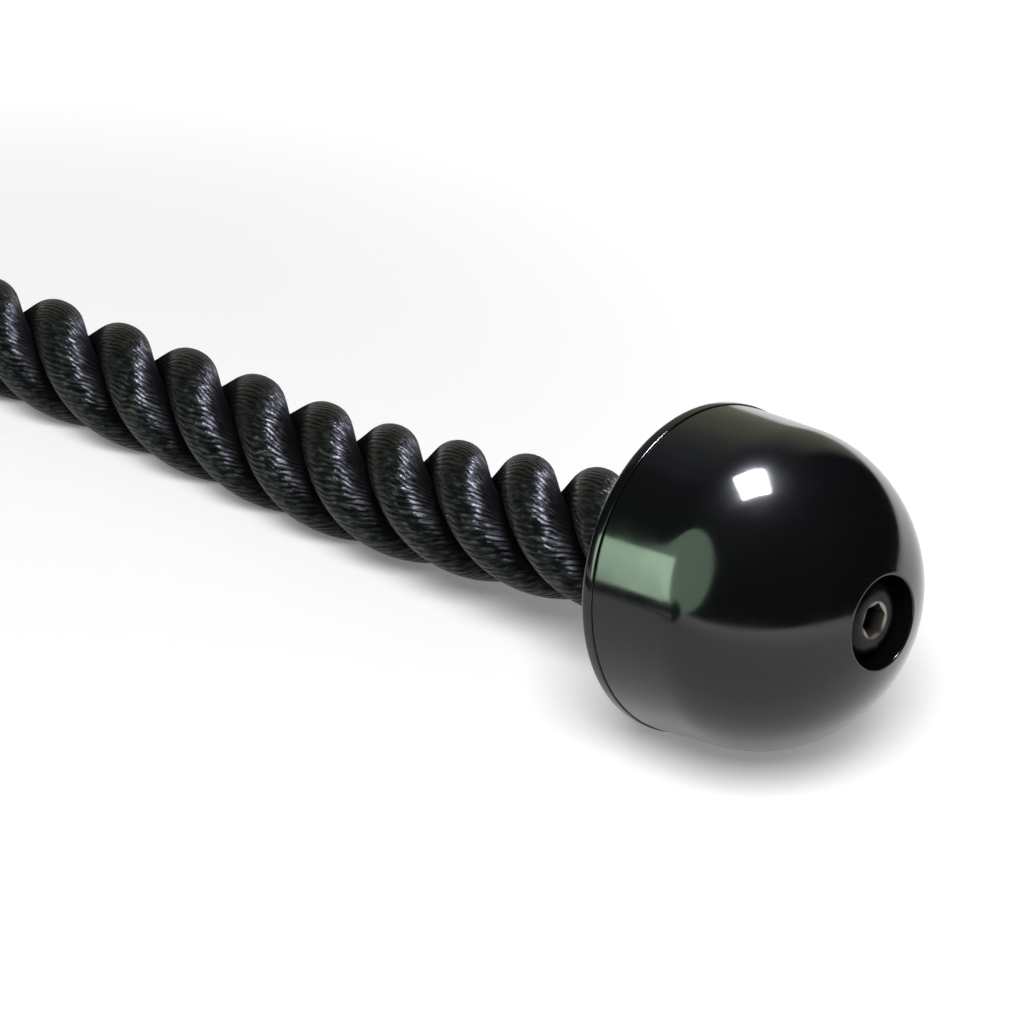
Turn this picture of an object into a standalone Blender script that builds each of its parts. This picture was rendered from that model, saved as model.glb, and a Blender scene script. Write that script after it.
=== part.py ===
"""Triceps rope attachment: a three-strand rope folded through a bent steel saddle, with a bolted
moulded ball on each end and a ring in a welded lug for the cable's hook.

It lies on a floor at z = 0 as an upside-down V: the ring points along +Y and the two legs run
towards -Y. The YZ plane is its plane of symmetry. Lengths are in metres and angles in degrees.
"""

import math

import bmesh
import bpy
import numpy as np
from mathutils import Matrix, Vector

# Clearances shared by all the pieces
GAP = 0.0003  # between pieces that touch on the real object
CUT_OVERRUN = 0.004  # how far a cutter runs past what it cuts
FLOOR_LIFT = 0.0001  # under a soft piece that lies on the floor
WELD_DISTANCE = 0.000003  # within which points of one mesh are merged

# Rope
ROPE_DIAMETER = 0.030
FLEX_SPAN = 0.080  # stretch beside the saddle that bends when a leg swings
ROUTE_STEP = 0.016  # spacing of the tube's points along the rope

# Saddle, a bent steel tube round the middle of the rope
SADDLE_WALL = 0.0032
SADDLE_BEND_RADIUS = 0.042
SADDLE_STRAIGHT = 0.016  # straight tube between the bend and each mouth
MOUTH_ANGLE = 24.0  # of each mouth away from -Y
MOUTH_FLARE = 0.0016  # how far the bore opens at a mouth
MOUTH_FLARE_LENGTH = 0.004
MOUTH_EDGE = 0.0008  # taken off the outside edge of a mouth

# Rivets that lock the rope in the saddle
RIVET_DIAMETER = 0.006
RIVET_HEAD_DIAMETER = 0.0115
RIVET_HEAD_HEIGHT = 0.0024
RIVET_SETBACK = 0.0085  # from the mouth, along the tube

# Lug plate welded to the outside of the bend
LUG_THICKNESS = 0.008
LUG_HOLE_DIAMETER = 0.014
LUG_REACH = 0.015  # from the tube to the hole's centre
LUG_EYE_WALL = 0.006  # of metal round the hole
LUG_ROOT_HEIGHT = 0.030
LUG_EDGE = 0.0009

# Ring that takes the cable's hook
RING_BAR = 0.008
RING_BORE = 0.038
RING_REST_GAP = 0.0001  # between the far side of the ring and the floor

# Ball end, along its own axis from the face on the rope's side
BALL_DIAMETER = 0.070
SKIRT_TOP_DIAMETER = 0.0673
SKIRT_LENGTH = 0.0182
CROWN_HEIGHT = 0.0316  # from the skirt to where an unbroken crown would close
CROWN_EXPONENT = 1.89  # 2 is an ellipse
DOME_WALL = 0.0038
RIM_LAND = 0.0004  # flat edge round the counterbore
BALL_TILT = 8.5  # the end's axis rises from the floor
BALL_TURN = 11.0  # and turns in from the mouth's direction

BASE_THICKNESS = 0.0032
BASE_EDGE = 0.0010
COLLAR_HEIGHT = 0.0060
COLLAR_WALL = 0.0030
SPIGOT_HEIGHT = 0.0060
SPIGOT_WALL = 0.0022
BEAD_HEIGHT = 0.0005
BEAD_WIDTH = 0.0020
BEAD_OFFSET = 0.0032  # from the flange to the bead's centre
HOLE_CHAMFER = 0.0012

FERRULE_WALL = 0.0030
FERRULE_PLATE = 0.0040
FERRULE_EDGE = 0.0008
CRIMP_WIDTH = 0.0022
CRIMP_DEPTH = 0.0007
CRIMP_COUNT = 2

NUT_ACROSS_FLATS = 0.016
NUT_HEIGHT = 0.008
BOSS_FLOOR = 0.0056  # of the dome, under the bolt's washer
BOSS_WALL = 0.0032
RIB_COUNT = 6
RIB_THICKNESS = 0.0020
RIB_STEP = 0.0010  # from the boss's end up to the ribs

BOLT_DIAMETER = 0.010
BOLT_HEAD_DIAMETER = 0.0175
BOLT_HEAD_HEIGHT = 0.0055
BOLT_HEAD_EDGE = 0.0006
BOLT_HEAD_FLAT = 0.0088  # flat on top of the head
BOLT_HEAD_RECESS = 0.0020  # from the counterbore's edge down to the head
BOLT_HEAD_CLEARANCE = 0.00065
BOLT_TIP_CLEARANCE = 0.0004
BOLT_TIP_CHAMFER = 0.0010
SOCKET_ACROSS_FLATS = 0.006
SOCKET_DEPTH = 0.0036
SOCKET_CHAMFER = 0.0004
WASHER_THICKNESS = 0.0016
WASHER_CLEARANCE = 0.0004

# Facets
TURNED_STEPS = 32
SMALL_TURNED_STEPS = 24
CROWN_STEPS = 8
INNER_CROWN_STEPS = 5
EDGE_STEPS = 2
BUTTON_STEPS = 5
RIVET_STEPS = 3
EYE_STEPS = 16
BEND_STEPS = 12
TUBE_RINGS = 8  # bevel resolution: 20 sides
ROPE_RINGS = 4  # 12 sides
RING_STEPS = 40
BAR_SIDES = 12
SPLINE_STEPS = 24  # between two of the leg's points, before it is read at even steps
SHARP_ANGLE = 35.0

# Hexagons
HEX_SIDES = 6
NUT_CHAMFER_ANGLE = 30.0

# Sizes that follow from those above
ROPE_RADIUS = ROPE_DIAMETER / 2
SADDLE_BORE = ROPE_RADIUS + GAP
SADDLE_RADIUS = SADDLE_BORE + SADDLE_WALL
BALL_RADIUS = BALL_DIAMETER / 2
CROWN_RADIUS = SKIRT_TOP_DIAMETER / 2
CAVITY_RADIUS = CROWN_RADIUS - DOME_WALL
COUNTERBORE_RADIUS = BOLT_HEAD_DIAMETER / 2 + BOLT_HEAD_CLEARANCE
RIM_RADIUS = COUNTERBORE_RADIUS + RIM_LAND
BOLT_HOLE_RADIUS = BOLT_DIAMETER / 2 + GAP
BOSS_RADIUS = COUNTERBORE_RADIUS + BOSS_WALL
FERRULE_BORE = ROPE_RADIUS + GAP
FERRULE_RADIUS = FERRULE_BORE + FERRULE_WALL
FACE_REACH = ROUTE_STEP / 4  # straight rope behind a cut face
CORNER_SHARE = 1 / math.cos(math.pi / HEX_SIDES)  # of a hexagon's flats, to its corners


def crown_height_at(radius, foot_radius, height):
    """Height above the skirt at which a crown has this radius."""
    return height * (1 - (radius / foot_radius) ** CROWN_EXPONENT) ** (1 / CROWN_EXPONENT)


# Heights along the ball's axis, from the apex down
RIM_HEIGHT = SKIRT_LENGTH + crown_height_at(RIM_RADIUS, CROWN_RADIUS, CROWN_HEIGHT)
HEAD_TOP = RIM_HEIGHT - BOLT_HEAD_RECESS
HEAD_SEAT = HEAD_TOP - BOLT_HEAD_HEIGHT
WASHER_TOP = HEAD_SEAT - GAP
WASHER_SEAT = WASHER_TOP - WASHER_THICKNESS - GAP
BOSS_END = WASHER_SEAT - BOSS_FLOOR
NUT_TOP = BOSS_END - GAP
PLATE_TOP = NUT_TOP - NUT_HEIGHT - GAP
PLATE_BOTTOM = PLATE_TOP - FERRULE_PLATE
BOLT_TIP = PLATE_BOTTOM + BOLT_TIP_CLEARANCE
ROPE_END = PLATE_BOTTOM - GAP
FERRULE_MOUTH = COLLAR_HEIGHT + GAP
DOME_FOOT = BASE_THICKNESS + GAP

# Heights above the floor
SADDLE_HEIGHT = SADDLE_RADIUS
LYING_HEIGHT = ROPE_RADIUS + FLOOR_LIFT
BALL_HEIGHT = BALL_RADIUS * math.cos(math.radians(BALL_TILT))

# The leg's centreline from the mouth to the ball's base: distance along the mouth's direction,
# distance in from it, and how far up it is towards the saddle's height and the ball's height
LEG_ROUTE = [
    (0.0000, 0.0000, 1.000, 0.000),
    (0.0120, 0.0000, 0.939, 0.000),
    (0.0260, 0.0000, 0.752, 0.000),
    (0.0400, 0.0000, 0.500, 0.000),
    (0.0540, 0.0001, 0.248, 0.000),
    (0.0680, 0.0002, 0.061, 0.000),
    (0.0800, 0.0004, 0.000, 0.000),
    (0.1050, 0.0009, 0.000, 0.000),
    (0.1240, 0.0017, 0.000, 0.000),
    (0.1490, 0.0030, 0.000, 0.000),
    (0.1740, 0.0047, 0.000, 0.000),
    (0.1990, 0.0068, 0.000, 0.000),
    (0.2190, 0.0088, 0.000, 0.003),
    (0.2365, 0.0108, 0.000, 0.060),
    (0.2535, 0.0130, 0.000, 0.166),
    (0.2705, 0.0153, 0.000, 0.308),
    (0.2870, 0.0178, 0.000, 0.473),
    (0.3030, 0.0203, 0.000, 0.637),
    (0.3155, 0.0225, 0.000, 0.768),
    (0.3285, 0.0249, 0.000, 0.891),
    (0.3413, 0.0273, 0.000, 1.000),
]


def clear_scene():
    for obj in list(bpy.data.objects):
        bpy.data.objects.remove(obj, do_unlink=True)


def new_collection(name):
    collection = bpy.data.collections.new(name)
    bpy.context.scene.collection.children.link(collection)
    return collection


def new_material(name, colour, roughness, metallic=0.0):
    material = bpy.data.materials.new(name)
    material.use_nodes = True
    shader = material.node_tree.nodes["Principled BSDF"]
    shader.inputs["Base Color"].default_value = (*colour, 1.0)
    shader.inputs["Roughness"].default_value = roughness
    shader.inputs["Metallic"].default_value = metallic
    material.diffuse_color = (*colour, 1.0)
    return material


def mesh_object(name, mesh, collection):
    obj = bpy.data.objects.new(name, mesh)
    collection.objects.link(obj)
    return obj


def as_cutter(obj):
    obj.hide_render = True
    obj.display_type = "WIRE"
    return obj


def baked(obj):
    """The object's evaluated mesh in its own frame, with its caps welded. The object is removed."""
    bpy.context.view_layer.update()
    graph = bpy.context.evaluated_depsgraph_get()
    mesh = bpy.data.meshes.new_from_object(obj.evaluated_get(graph))
    work = bmesh.new()
    work.from_mesh(mesh)
    bmesh.ops.remove_doubles(work, verts=work.verts, dist=WELD_DISTANCE)
    work.to_mesh(mesh)
    work.free()
    mesh.shade_smooth()
    mesh.set_sharp_from_angle(angle=math.radians(SHARP_ANGLE))
    bpy.data.objects.remove(obj, do_unlink=True)
    return mesh


def add_boolean(obj, other, operation):
    modifier = obj.modifiers.new(other.name, "BOOLEAN")
    modifier.operation = operation
    modifier.object = other
    modifier.solver = "EXACT"


def turned(name, profile, collection, steps=TURNED_STEPS):
    """Turns a profile of (radius, height) points about Z. It runs down the outside. A profile whose
    ends aren't on the axis is closed into a ring."""
    count = len(profile)
    edges = [(i, i + 1) for i in range(count - 1)]
    if profile[0][0] > 0:
        edges.append((count - 1, 0))
    mesh = bpy.data.meshes.new(name)
    mesh.from_pydata([(radius, 0, height) for radius, height in profile], edges, [])
    obj = mesh_object(name, mesh, collection)
    screw = obj.modifiers.new("turn", "SCREW")
    screw.steps = steps
    screw.render_steps = steps
    screw.use_merge_vertices = True
    screw.merge_threshold = WELD_DISTANCE
    return obj


def hexagon(name, across_flats, low, high, collection):
    """An upright hexagonal prism from one height to another."""
    work = bmesh.new()
    radius = across_flats / 2 * CORNER_SHARE
    middle = Matrix.Translation((0, 0, (low + high) / 2))
    bmesh.ops.create_cone(
        work, cap_ends=True, segments=HEX_SIDES, radius1=radius, radius2=radius,
        depth=high - low, matrix=middle,
    )
    mesh = bpy.data.meshes.new(name)
    work.to_mesh(mesh)
    work.free()
    return mesh_object(name, mesh, collection)


def tube(name, points, radius, collection, rings, radius_shares=None):
    """A round bar along points, as a poly curve with filled caps."""
    curve = bpy.data.curves.new(name, "CURVE")
    curve.dimensions = "3D"
    curve.bevel_depth = radius
    curve.bevel_resolution = rings
    curve.use_fill_caps = True
    curve.twist_mode = "Z_UP"
    spline = curve.splines.new("POLY")
    spline.points.add(len(points) - 1)
    for i, point in enumerate(points):
        spline.points[i].co = (*point, 1.0)
        spline.points[i].radius = radius_shares[i] if radius_shares else 1.0
    return mesh_object(name, curve, collection)


def finish(mesh, name, material, collection, parent, place=None):
    """Puts a piece's mesh under the empty that carries it."""
    obj = mesh_object(name, mesh, collection)
    if not mesh.materials:
        mesh.materials.append(material)
    obj.parent = parent
    if place is not None:
        obj.matrix_local = place
    return obj


def travelled_along(points):
    steps = np.linalg.norm(np.diff(points, axis=0), axis=1)
    return np.concatenate([[0], np.cumsum(steps)])


def smooth_route(points, step):
    """A Catmull-Rom curve through the points, read at even steps."""
    route = np.array(points)
    padded = np.concatenate([[2 * route[0] - route[1]], route, [2 * route[-1] - route[-2]]])
    fine = []
    for before, start, end, after in zip(padded, padded[1:], padded[2:], padded[3:]):
        t = np.linspace(0, 1, SPLINE_STEPS, endpoint=False)[:, None]
        bend = (2 * before - 5 * start + 4 * end - after) * t**2
        twist = (3 * start - before - 3 * end + after) * t**3
        fine.append((2 * start + (end - before) * t + bend + twist) / 2)
    fine = np.concatenate([*fine, route[-1:]])
    travelled = travelled_along(fine)
    count = max(2, round(travelled[-1] / step) + 1)
    wanted = np.linspace(0, travelled[-1], count)
    return np.stack([np.interp(wanted, travelled, fine[:, k]) for k in range(3)], axis=1)


def face_at(points, distance):
    """The point at a distance along the route, and the way that the route runs there."""
    travelled = travelled_along(points)
    before, place, after = (
        Vector([np.interp(distance + step, travelled, points[:, k]) for k in range(3)])
        for step in (-FACE_REACH, 0, FACE_REACH)
    )
    return place, (after - before).normalized()


def square_run(points, start, end):
    """The route between two faces, each a point and a way, with its ends square to them."""
    first, last = start[0] + FACE_REACH * start[1], end[0] - FACE_REACH * end[1]
    inner = []
    for point in map(Vector, points):
        past_start, before_end = (point - first).dot(start[1]), (last - point).dot(end[1])
        if min(past_start, before_end) > FACE_REACH:
            inner.append(point)
    return [start[0] + GAP / 2 * start[1], first, *inner, last, end[0] - GAP / 2 * end[1]]


def mouth_frame(side):
    """The mouth's centre, the way it points, and the way in towards the plane of symmetry."""
    angle = math.radians(MOUTH_ANGLE)
    out = Vector((side * math.sin(angle), -math.cos(angle), 0))
    inward = Vector((-side * math.cos(angle), -math.sin(angle), 0))
    bend_end = -SADDLE_BEND_RADIUS * inward
    bend_end.z = SADDLE_HEIGHT
    # The bend's centre is the origin here, so its end lies straight out from it.
    return bend_end + SADDLE_STRAIGHT * out, out, inward


def saddle_path(past=0.0):
    """The saddle's centreline from the left mouth to the right one, running past both."""
    sweep = math.radians(90 - MOUTH_ANGLE)
    right_mouth, right_out, _ = mouth_frame(1)
    left_mouth, left_out, _ = mouth_frame(-1)
    bend = [
        Vector((SADDLE_BEND_RADIUS * math.sin(a), SADDLE_BEND_RADIUS * math.cos(a), SADDLE_HEIGHT))
        for a in np.linspace(-sweep, sweep, BEND_STEPS + 1)
    ]
    ends = (left_mouth + past * left_out, right_mouth + past * right_out)
    return [ends[0], *bend, ends[1]]


def leg_points(side):
    """The rope's centreline from the mouth to the ball's base."""
    mouth, out, inward = mouth_frame(side)
    points = []
    for along, across, saddle_share, ball_share in LEG_ROUTE:
        point = mouth + along * out + across * inward
        up = saddle_share * (SADDLE_HEIGHT - LYING_HEIGHT) + ball_share * (BALL_HEIGHT - LYING_HEIGHT)
        point.z = LYING_HEIGHT + up
        points.append(point)
    return points


def ball_frame(side):
    """Where a ball end sits: its Z axis points from its base to its apex, and X down to the floor."""
    _, out, inward = mouth_frame(side)
    turn, tilt = math.radians(BALL_TURN), math.radians(BALL_TILT)
    flat = math.cos(turn) * out + math.sin(turn) * inward
    apex = (math.cos(tilt) * flat + Vector((0, 0, math.sin(tilt)))).normalized()
    level = Vector((0, 0, 1)).cross(apex).normalized()
    down = level.cross(apex)
    frame = Matrix((down, level, apex)).transposed().to_4x4()
    frame.translation = leg_points(side)[-1]
    return frame


def crown_points(foot_radius, height, stop_radius, steps):
    """The crown's profile from the stop radius down to the skirt, on a superellipse."""
    power = 2 / CROWN_EXPONENT
    last = math.acos((stop_radius / foot_radius) ** (1 / power))
    return [
        (foot_radius * math.cos(a) ** power, SKIRT_LENGTH + height * math.sin(a) ** power)
        for a in np.linspace(last, 0, steps + 1)
    ]


def dome_outline():
    """The dome's profile, with its crown and boss still solid."""
    foot_radius = BALL_RADIUS - (BALL_RADIUS - CROWN_RADIUS) * DOME_FOOT / SKIRT_LENGTH
    inner_height = CROWN_HEIGHT - DOME_WALL
    bead = BASE_THICKNESS + BEAD_OFFSET
    groove = CAVITY_RADIUS + BEAD_HEIGHT
    return [
        (0, RIM_HEIGHT),
        *crown_points(CROWN_RADIUS, CROWN_HEIGHT, RIM_RADIUS, CROWN_STEPS),
        (foot_radius, DOME_FOOT),
        (CAVITY_RADIUS, DOME_FOOT),
        (CAVITY_RADIUS, bead - BEAD_WIDTH / 2),
        (groove, bead),
        (CAVITY_RADIUS, bead + BEAD_WIDTH / 2),
        *reversed(crown_points(CAVITY_RADIUS, inner_height, BOSS_RADIUS, INNER_CROWN_STEPS)),
        (BOSS_RADIUS, BOSS_END),
        (0, BOSS_END),
    ]


def rib_star(collection):
    """Ribs between the boss and the crown: an extruded star, trimmed halfway into the dome's wall."""
    arm = RIB_THICKNESS / 2
    half_step = math.pi / RIB_COUNT
    inner = arm / math.sin(half_step)
    corners = []
    for i in range(RIB_COUNT):
        angle = 2 * i * half_step
        out = Vector((math.cos(angle), math.sin(angle)))
        beside = Vector((-out.y, out.x))
        between = Vector((math.cos(angle + half_step), math.sin(angle + half_step)))
        corners += [CAVITY_RADIUS * out - arm * beside, CAVITY_RADIUS * out + arm * beside]
        corners.append(inner * between)
    low, high = BOSS_END + RIB_STEP, RIM_HEIGHT
    curve = bpy.data.curves.new("rib_star", "CURVE")
    curve.dimensions = "2D"
    curve.fill_mode = "BOTH"
    curve.extrude = (high - low) / 2
    spline = curve.splines.new("POLY")
    spline.points.add(len(corners) - 1)
    for point, corner in zip(spline.points, corners):
        point.co = (corner.x, corner.y, 0, 1)
    spline.use_cyclic_u = True
    flat = mesh_object("rib_star", curve, collection)
    star = mesh_object("dome_ribs", baked(flat), collection)
    star.location.z = (low + high) / 2
    half_wall = DOME_WALL / 2
    core = turned("rib_trim", [
        (0, RIM_HEIGHT - half_wall),
        *crown_points(CAVITY_RADIUS + half_wall, CROWN_HEIGHT - half_wall, BOSS_RADIUS, CROWN_STEPS),
        (CAVITY_RADIUS + half_wall, DOME_FOOT),
        (0, DOME_FOOT),
    ], collection)
    add_boolean(star, as_cutter(core), "INTERSECT")
    return as_cutter(star)


def bolt_way(collection):
    """Cutter for the counterbore and the bolt hole under it."""
    return as_cutter(turned("bolt_way", [
        (0, RIM_HEIGHT + CUT_OVERRUN),
        (COUNTERBORE_RADIUS, RIM_HEIGHT + CUT_OVERRUN),
        (COUNTERBORE_RADIUS, WASHER_SEAT),
        (BOLT_HOLE_RADIUS, WASHER_SEAT),
        (BOLT_HOLE_RADIUS, BOSS_END - CUT_OVERRUN),
        (0, BOSS_END - CUT_OVERRUN),
    ], collection))


def ball_dome(cutters):
    dome = turned("ball_dome", dome_outline(), cutters)
    add_boolean(dome, rib_star(cutters), "UNION")
    add_boolean(dome, bolt_way(cutters), "DIFFERENCE")
    return baked(dome)


def ball_base(cutters):
    """Flange with a collar round the rope and a spigot that snaps into the dome."""
    hole = ROPE_RADIUS + GAP
    collar = hole + COLLAR_WALL
    spigot = CAVITY_RADIUS - GAP
    bead = BASE_THICKNESS + BEAD_OFFSET
    edge = [
        (BALL_RADIUS - BASE_EDGE * (1 - math.cos(a)), BASE_EDGE * (1 - math.sin(a)))
        for a in np.linspace(0, math.pi / 2, EDGE_STEPS + 1)
    ]
    return baked(turned("ball_base", [
        (spigot, BASE_THICKNESS + SPIGOT_HEIGHT),
        (spigot, bead + BEAD_WIDTH / 2),
        (spigot + BEAD_HEIGHT, bead),
        (spigot, bead - BEAD_WIDTH / 2),
        (spigot, BASE_THICKNESS),
        (BALL_RADIUS, BASE_THICKNESS),
        *edge,
        (hole + HOLE_CHAMFER, 0),
        (hole, HOLE_CHAMFER),
        (hole, COLLAR_HEIGHT),
        (collar, COLLAR_HEIGHT),
        (collar, BASE_THICKNESS),
        (spigot - SPIGOT_WALL, BASE_THICKNESS),
        (spigot - SPIGOT_WALL, BASE_THICKNESS + SPIGOT_HEIGHT),
    ], cutters))


def end_ferrule(cutters):
    """Steel cup crimped on the rope's end, with a hole in its plate for the bolt."""
    shell = PLATE_TOP - FERRULE_MOUTH
    outside = [
        (BOLT_HOLE_RADIUS, PLATE_TOP),
        (FERRULE_RADIUS - FERRULE_EDGE, PLATE_TOP),
        (FERRULE_RADIUS, PLATE_TOP - FERRULE_EDGE),
    ]
    for i in range(CRIMP_COUNT):
        middle = PLATE_TOP - shell * (i + 1) / (CRIMP_COUNT + 1)
        outside += [
            (FERRULE_RADIUS, middle + CRIMP_WIDTH / 2),
            (FERRULE_RADIUS - CRIMP_DEPTH, middle),
            (FERRULE_RADIUS, middle - CRIMP_WIDTH / 2),
        ]
    return baked(turned("end_ferrule", [
        *outside,
        (FERRULE_RADIUS, FERRULE_MOUTH),
        (FERRULE_BORE, FERRULE_MOUTH),
        (FERRULE_BORE, PLATE_BOTTOM),
        (BOLT_HOLE_RADIUS, PLATE_BOTTOM),
    ], cutters, SMALL_TURNED_STEPS))


def weld_nut(cutters):
    """Hexagon nut with both ends chamfered to a circle."""
    low, high = NUT_TOP - NUT_HEIGHT, NUT_TOP
    nut = hexagon("weld_nut", NUT_ACROSS_FLATS, low, high, cutters)
    flat_radius = NUT_ACROSS_FLATS / 2
    reach = flat_radius * CORNER_SHARE + CUT_OVERRUN
    fall = (reach - flat_radius) * math.tan(math.radians(NUT_CHAMFER_ANGLE))
    blank = as_cutter(turned("nut_blank", [
        (0, high),
        (flat_radius, high),
        (reach, high - fall),
        (reach, low + fall),
        (flat_radius, low),
        (0, low),
    ], cutters, SMALL_TURNED_STEPS))
    bore = as_cutter(turned("nut_bore", [
        (0, high + CUT_OVERRUN),
        (BOLT_HOLE_RADIUS, high + CUT_OVERRUN),
        (BOLT_HOLE_RADIUS, low - CUT_OVERRUN),
        (0, low - CUT_OVERRUN),
    ], cutters, SMALL_TURNED_STEPS))
    add_boolean(nut, blank, "INTERSECT")
    add_boolean(nut, bore, "DIFFERENCE")
    return baked(nut)


def head_washer(cutters):
    outside = COUNTERBORE_RADIUS - WASHER_CLEARANCE
    low, high = WASHER_TOP - WASHER_THICKNESS, WASHER_TOP
    return baked(turned("head_washer", [
        (BOLT_HOLE_RADIUS, high),
        (outside, high),
        (outside, low),
        (BOLT_HOLE_RADIUS, low),
    ], cutters, SMALL_TURNED_STEPS))


def ball_bolt(cutters):
    """Button-head bolt with a hexagon socket."""
    head, shank = BOLT_HEAD_DIAMETER / 2, BOLT_DIAMETER / 2
    flat = BOLT_HEAD_FLAT / 2
    rise = BOLT_HEAD_HEIGHT - BOLT_HEAD_EDGE
    button = [
        (flat + (head - flat) * math.sin(a), HEAD_SEAT + BOLT_HEAD_EDGE + rise * math.cos(a))
        for a in np.linspace(0, math.pi / 2, BUTTON_STEPS + 1)
    ]
    bolt = turned("ball_bolt", [
        (0, HEAD_TOP),
        *button,
        (head, HEAD_SEAT),
        (shank, HEAD_SEAT),
        (shank, BOLT_TIP + BOLT_TIP_CHAMFER),
        (shank - BOLT_TIP_CHAMFER, BOLT_TIP),
        (0, BOLT_TIP),
    ], cutters, SMALL_TURNED_STEPS)
    floor, above = HEAD_TOP - SOCKET_DEPTH, HEAD_TOP + CUT_OVERRUN
    socket = hexagon("bolt_socket", SOCKET_ACROSS_FLATS, floor, above, cutters)
    mouth = SOCKET_ACROSS_FLATS / 2 * CORNER_SHARE + SOCKET_CHAMFER
    chamfer = turned("socket_chamfer", [
        (0, above),
        (mouth + CUT_OVERRUN, above),
        (0, HEAD_TOP - mouth),
    ], cutters, SMALL_TURNED_STEPS)
    add_boolean(bolt, as_cutter(socket), "DIFFERENCE")
    add_boolean(bolt, as_cutter(chamfer), "DIFFERENCE")
    return baked(bolt)


def saddle_tube(cutters):
    """The bent tube, its bore flared at each mouth and its outside edges broken."""
    path = saddle_path()
    mouths = [mouth_frame(-1), mouth_frame(1)]
    edged = [path[0], mouths[0][0] - MOUTH_EDGE * mouths[0][1], *path[1:-1]]
    edged += [mouths[1][0] - MOUTH_EDGE * mouths[1][1], path[-1]]
    edge_share = 1 - MOUTH_EDGE / SADDLE_RADIUS
    shares = [edge_share] + [1.0] * (len(edged) - 2) + [edge_share]
    outside = tube("saddle_outside", edged, SADDLE_RADIUS, cutters, TUBE_RINGS, shares)
    flared = [mouths[0][0] + CUT_OVERRUN * mouths[0][1]]
    flared += [mouths[0][0] - MOUTH_FLARE_LENGTH * mouths[0][1], *path[1:-1]]
    flared += [mouths[1][0] - MOUTH_FLARE_LENGTH * mouths[1][1]]
    flared += [mouths[1][0] + CUT_OVERRUN * mouths[1][1]]
    slope = MOUTH_FLARE / MOUTH_FLARE_LENGTH
    open_share = 1 + slope * (MOUTH_FLARE_LENGTH + CUT_OVERRUN) / SADDLE_BORE
    shares = [open_share] + [1.0] * (len(flared) - 2) + [open_share]
    inside = tube("saddle_bore", flared, SADDLE_BORE, cutters, TUBE_RINGS, shares)
    saddle = mesh_object("saddle_body", baked(outside), cutters)
    add_boolean(saddle, as_cutter(mesh_object("saddle_bore", baked(inside), cutters)), "DIFFERENCE")
    for side in (-1, 1):
        add_boolean(saddle, rivet_way(side, cutters), "DIFFERENCE")
    return baked(saddle)


def rivet_frame(side):
    """On the straight tube behind the mouth. Z runs across the tube, level with the floor."""
    mouth, out, inward = mouth_frame(side)
    up = Vector((0, 0, 1))
    frame = Matrix((up, inward.cross(up), inward)).transposed().to_4x4()
    frame.translation = mouth - RIVET_SETBACK * out
    return frame


def rivet_way(side, cutters):
    reach = SADDLE_RADIUS + CUT_OVERRUN
    way = turned("rivet_way", [
        (0, reach),
        (RIVET_DIAMETER / 2 + GAP, reach),
        (RIVET_DIAMETER / 2 + GAP, -reach),
        (0, -reach),
    ], cutters, SMALL_TURNED_STEPS)
    way.matrix_world = rivet_frame(side)
    return as_cutter(way)


def rope_rivet(cutters):
    """Solid rivet with a domed head at each end."""
    shank, head = RIVET_DIAMETER / 2, RIVET_HEAD_DIAMETER / 2
    seat = SADDLE_RADIUS + GAP
    dome = [
        (head * math.sin(a), seat + RIVET_HEAD_HEIGHT * math.cos(a))
        for a in np.linspace(0, math.pi / 2, RIVET_STEPS + 1)
    ]
    upper = [*dome, (shank, seat)]
    lower = [(radius, -height) for radius, height in reversed(upper)]
    return baked(turned("rope_rivet", upper + lower, cutters, SMALL_TURNED_STEPS))


def lug_centre():
    """The middle of the hole, straight out from the middle of the bend."""
    return Vector((0, SADDLE_BEND_RADIUS + SADDLE_RADIUS + LUG_REACH, SADDLE_HEIGHT))


def lug_plate(cutters):
    """A plate with a round eye that widens to a root shaped to the tube."""
    hole = LUG_HOLE_DIAMETER / 2
    eye = hole + LUG_EYE_WALL
    root_half = LUG_ROOT_HEIGHT / 2
    centre = lug_centre()
    root = Vector((SADDLE_BEND_RADIUS - centre.y, root_half))
    # Where a straight edge from the root's corner meets the eye without a corner
    stop = math.atan2(root.y, root.x) - math.acos(eye / root.length)
    turns = np.linspace(-stop, stop, EYE_STEPS + 1)
    outline = [(eye * math.cos(a), eye * math.sin(a)) for a in turns]
    outline += [(root.x, root.y), (root.x, -root.y)]
    circle = [
        (hole * math.cos(a), hole * math.sin(a))
        for a in np.linspace(0, 2 * math.pi, SMALL_TURNED_STEPS, endpoint=False)
    ]
    curve = bpy.data.curves.new("lug_plate", "CURVE")
    curve.dimensions = "2D"
    curve.fill_mode = "BOTH"
    curve.extrude = LUG_THICKNESS / 2 - LUG_EDGE
    curve.bevel_depth = LUG_EDGE
    curve.bevel_resolution = 1
    curve.offset = -LUG_EDGE
    for loop in (outline, circle):
        spline = curve.splines.new("POLY")
        spline.points.add(len(loop) - 1)
        for point, (x, y) in zip(spline.points, loop):
            point.co = (x, y, 0, 1)
        spline.use_cyclic_u = True
    plate = mesh_object("lug_outline", curve, cutters)
    body = mesh_object("lug_body", baked(plate), cutters)
    # The outline's X and Y become the part's Y and Z.
    body.matrix_world = Matrix.Translation(centre) @ Matrix(
        ((0, 0, 1, 0), (1, 0, 0, 0), (0, 1, 0, 0), (0, 0, 0, 1))
    )
    seat = tube("lug_seat", saddle_path(), SADDLE_RADIUS + GAP, cutters, TUBE_RINGS)
    add_boolean(body, as_cutter(mesh_object("lug_seat", baked(seat), cutters)), "DIFFERENCE")
    frame = body.matrix_world.copy()
    mesh = baked(body)
    mesh.transform(frame)
    return mesh


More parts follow.
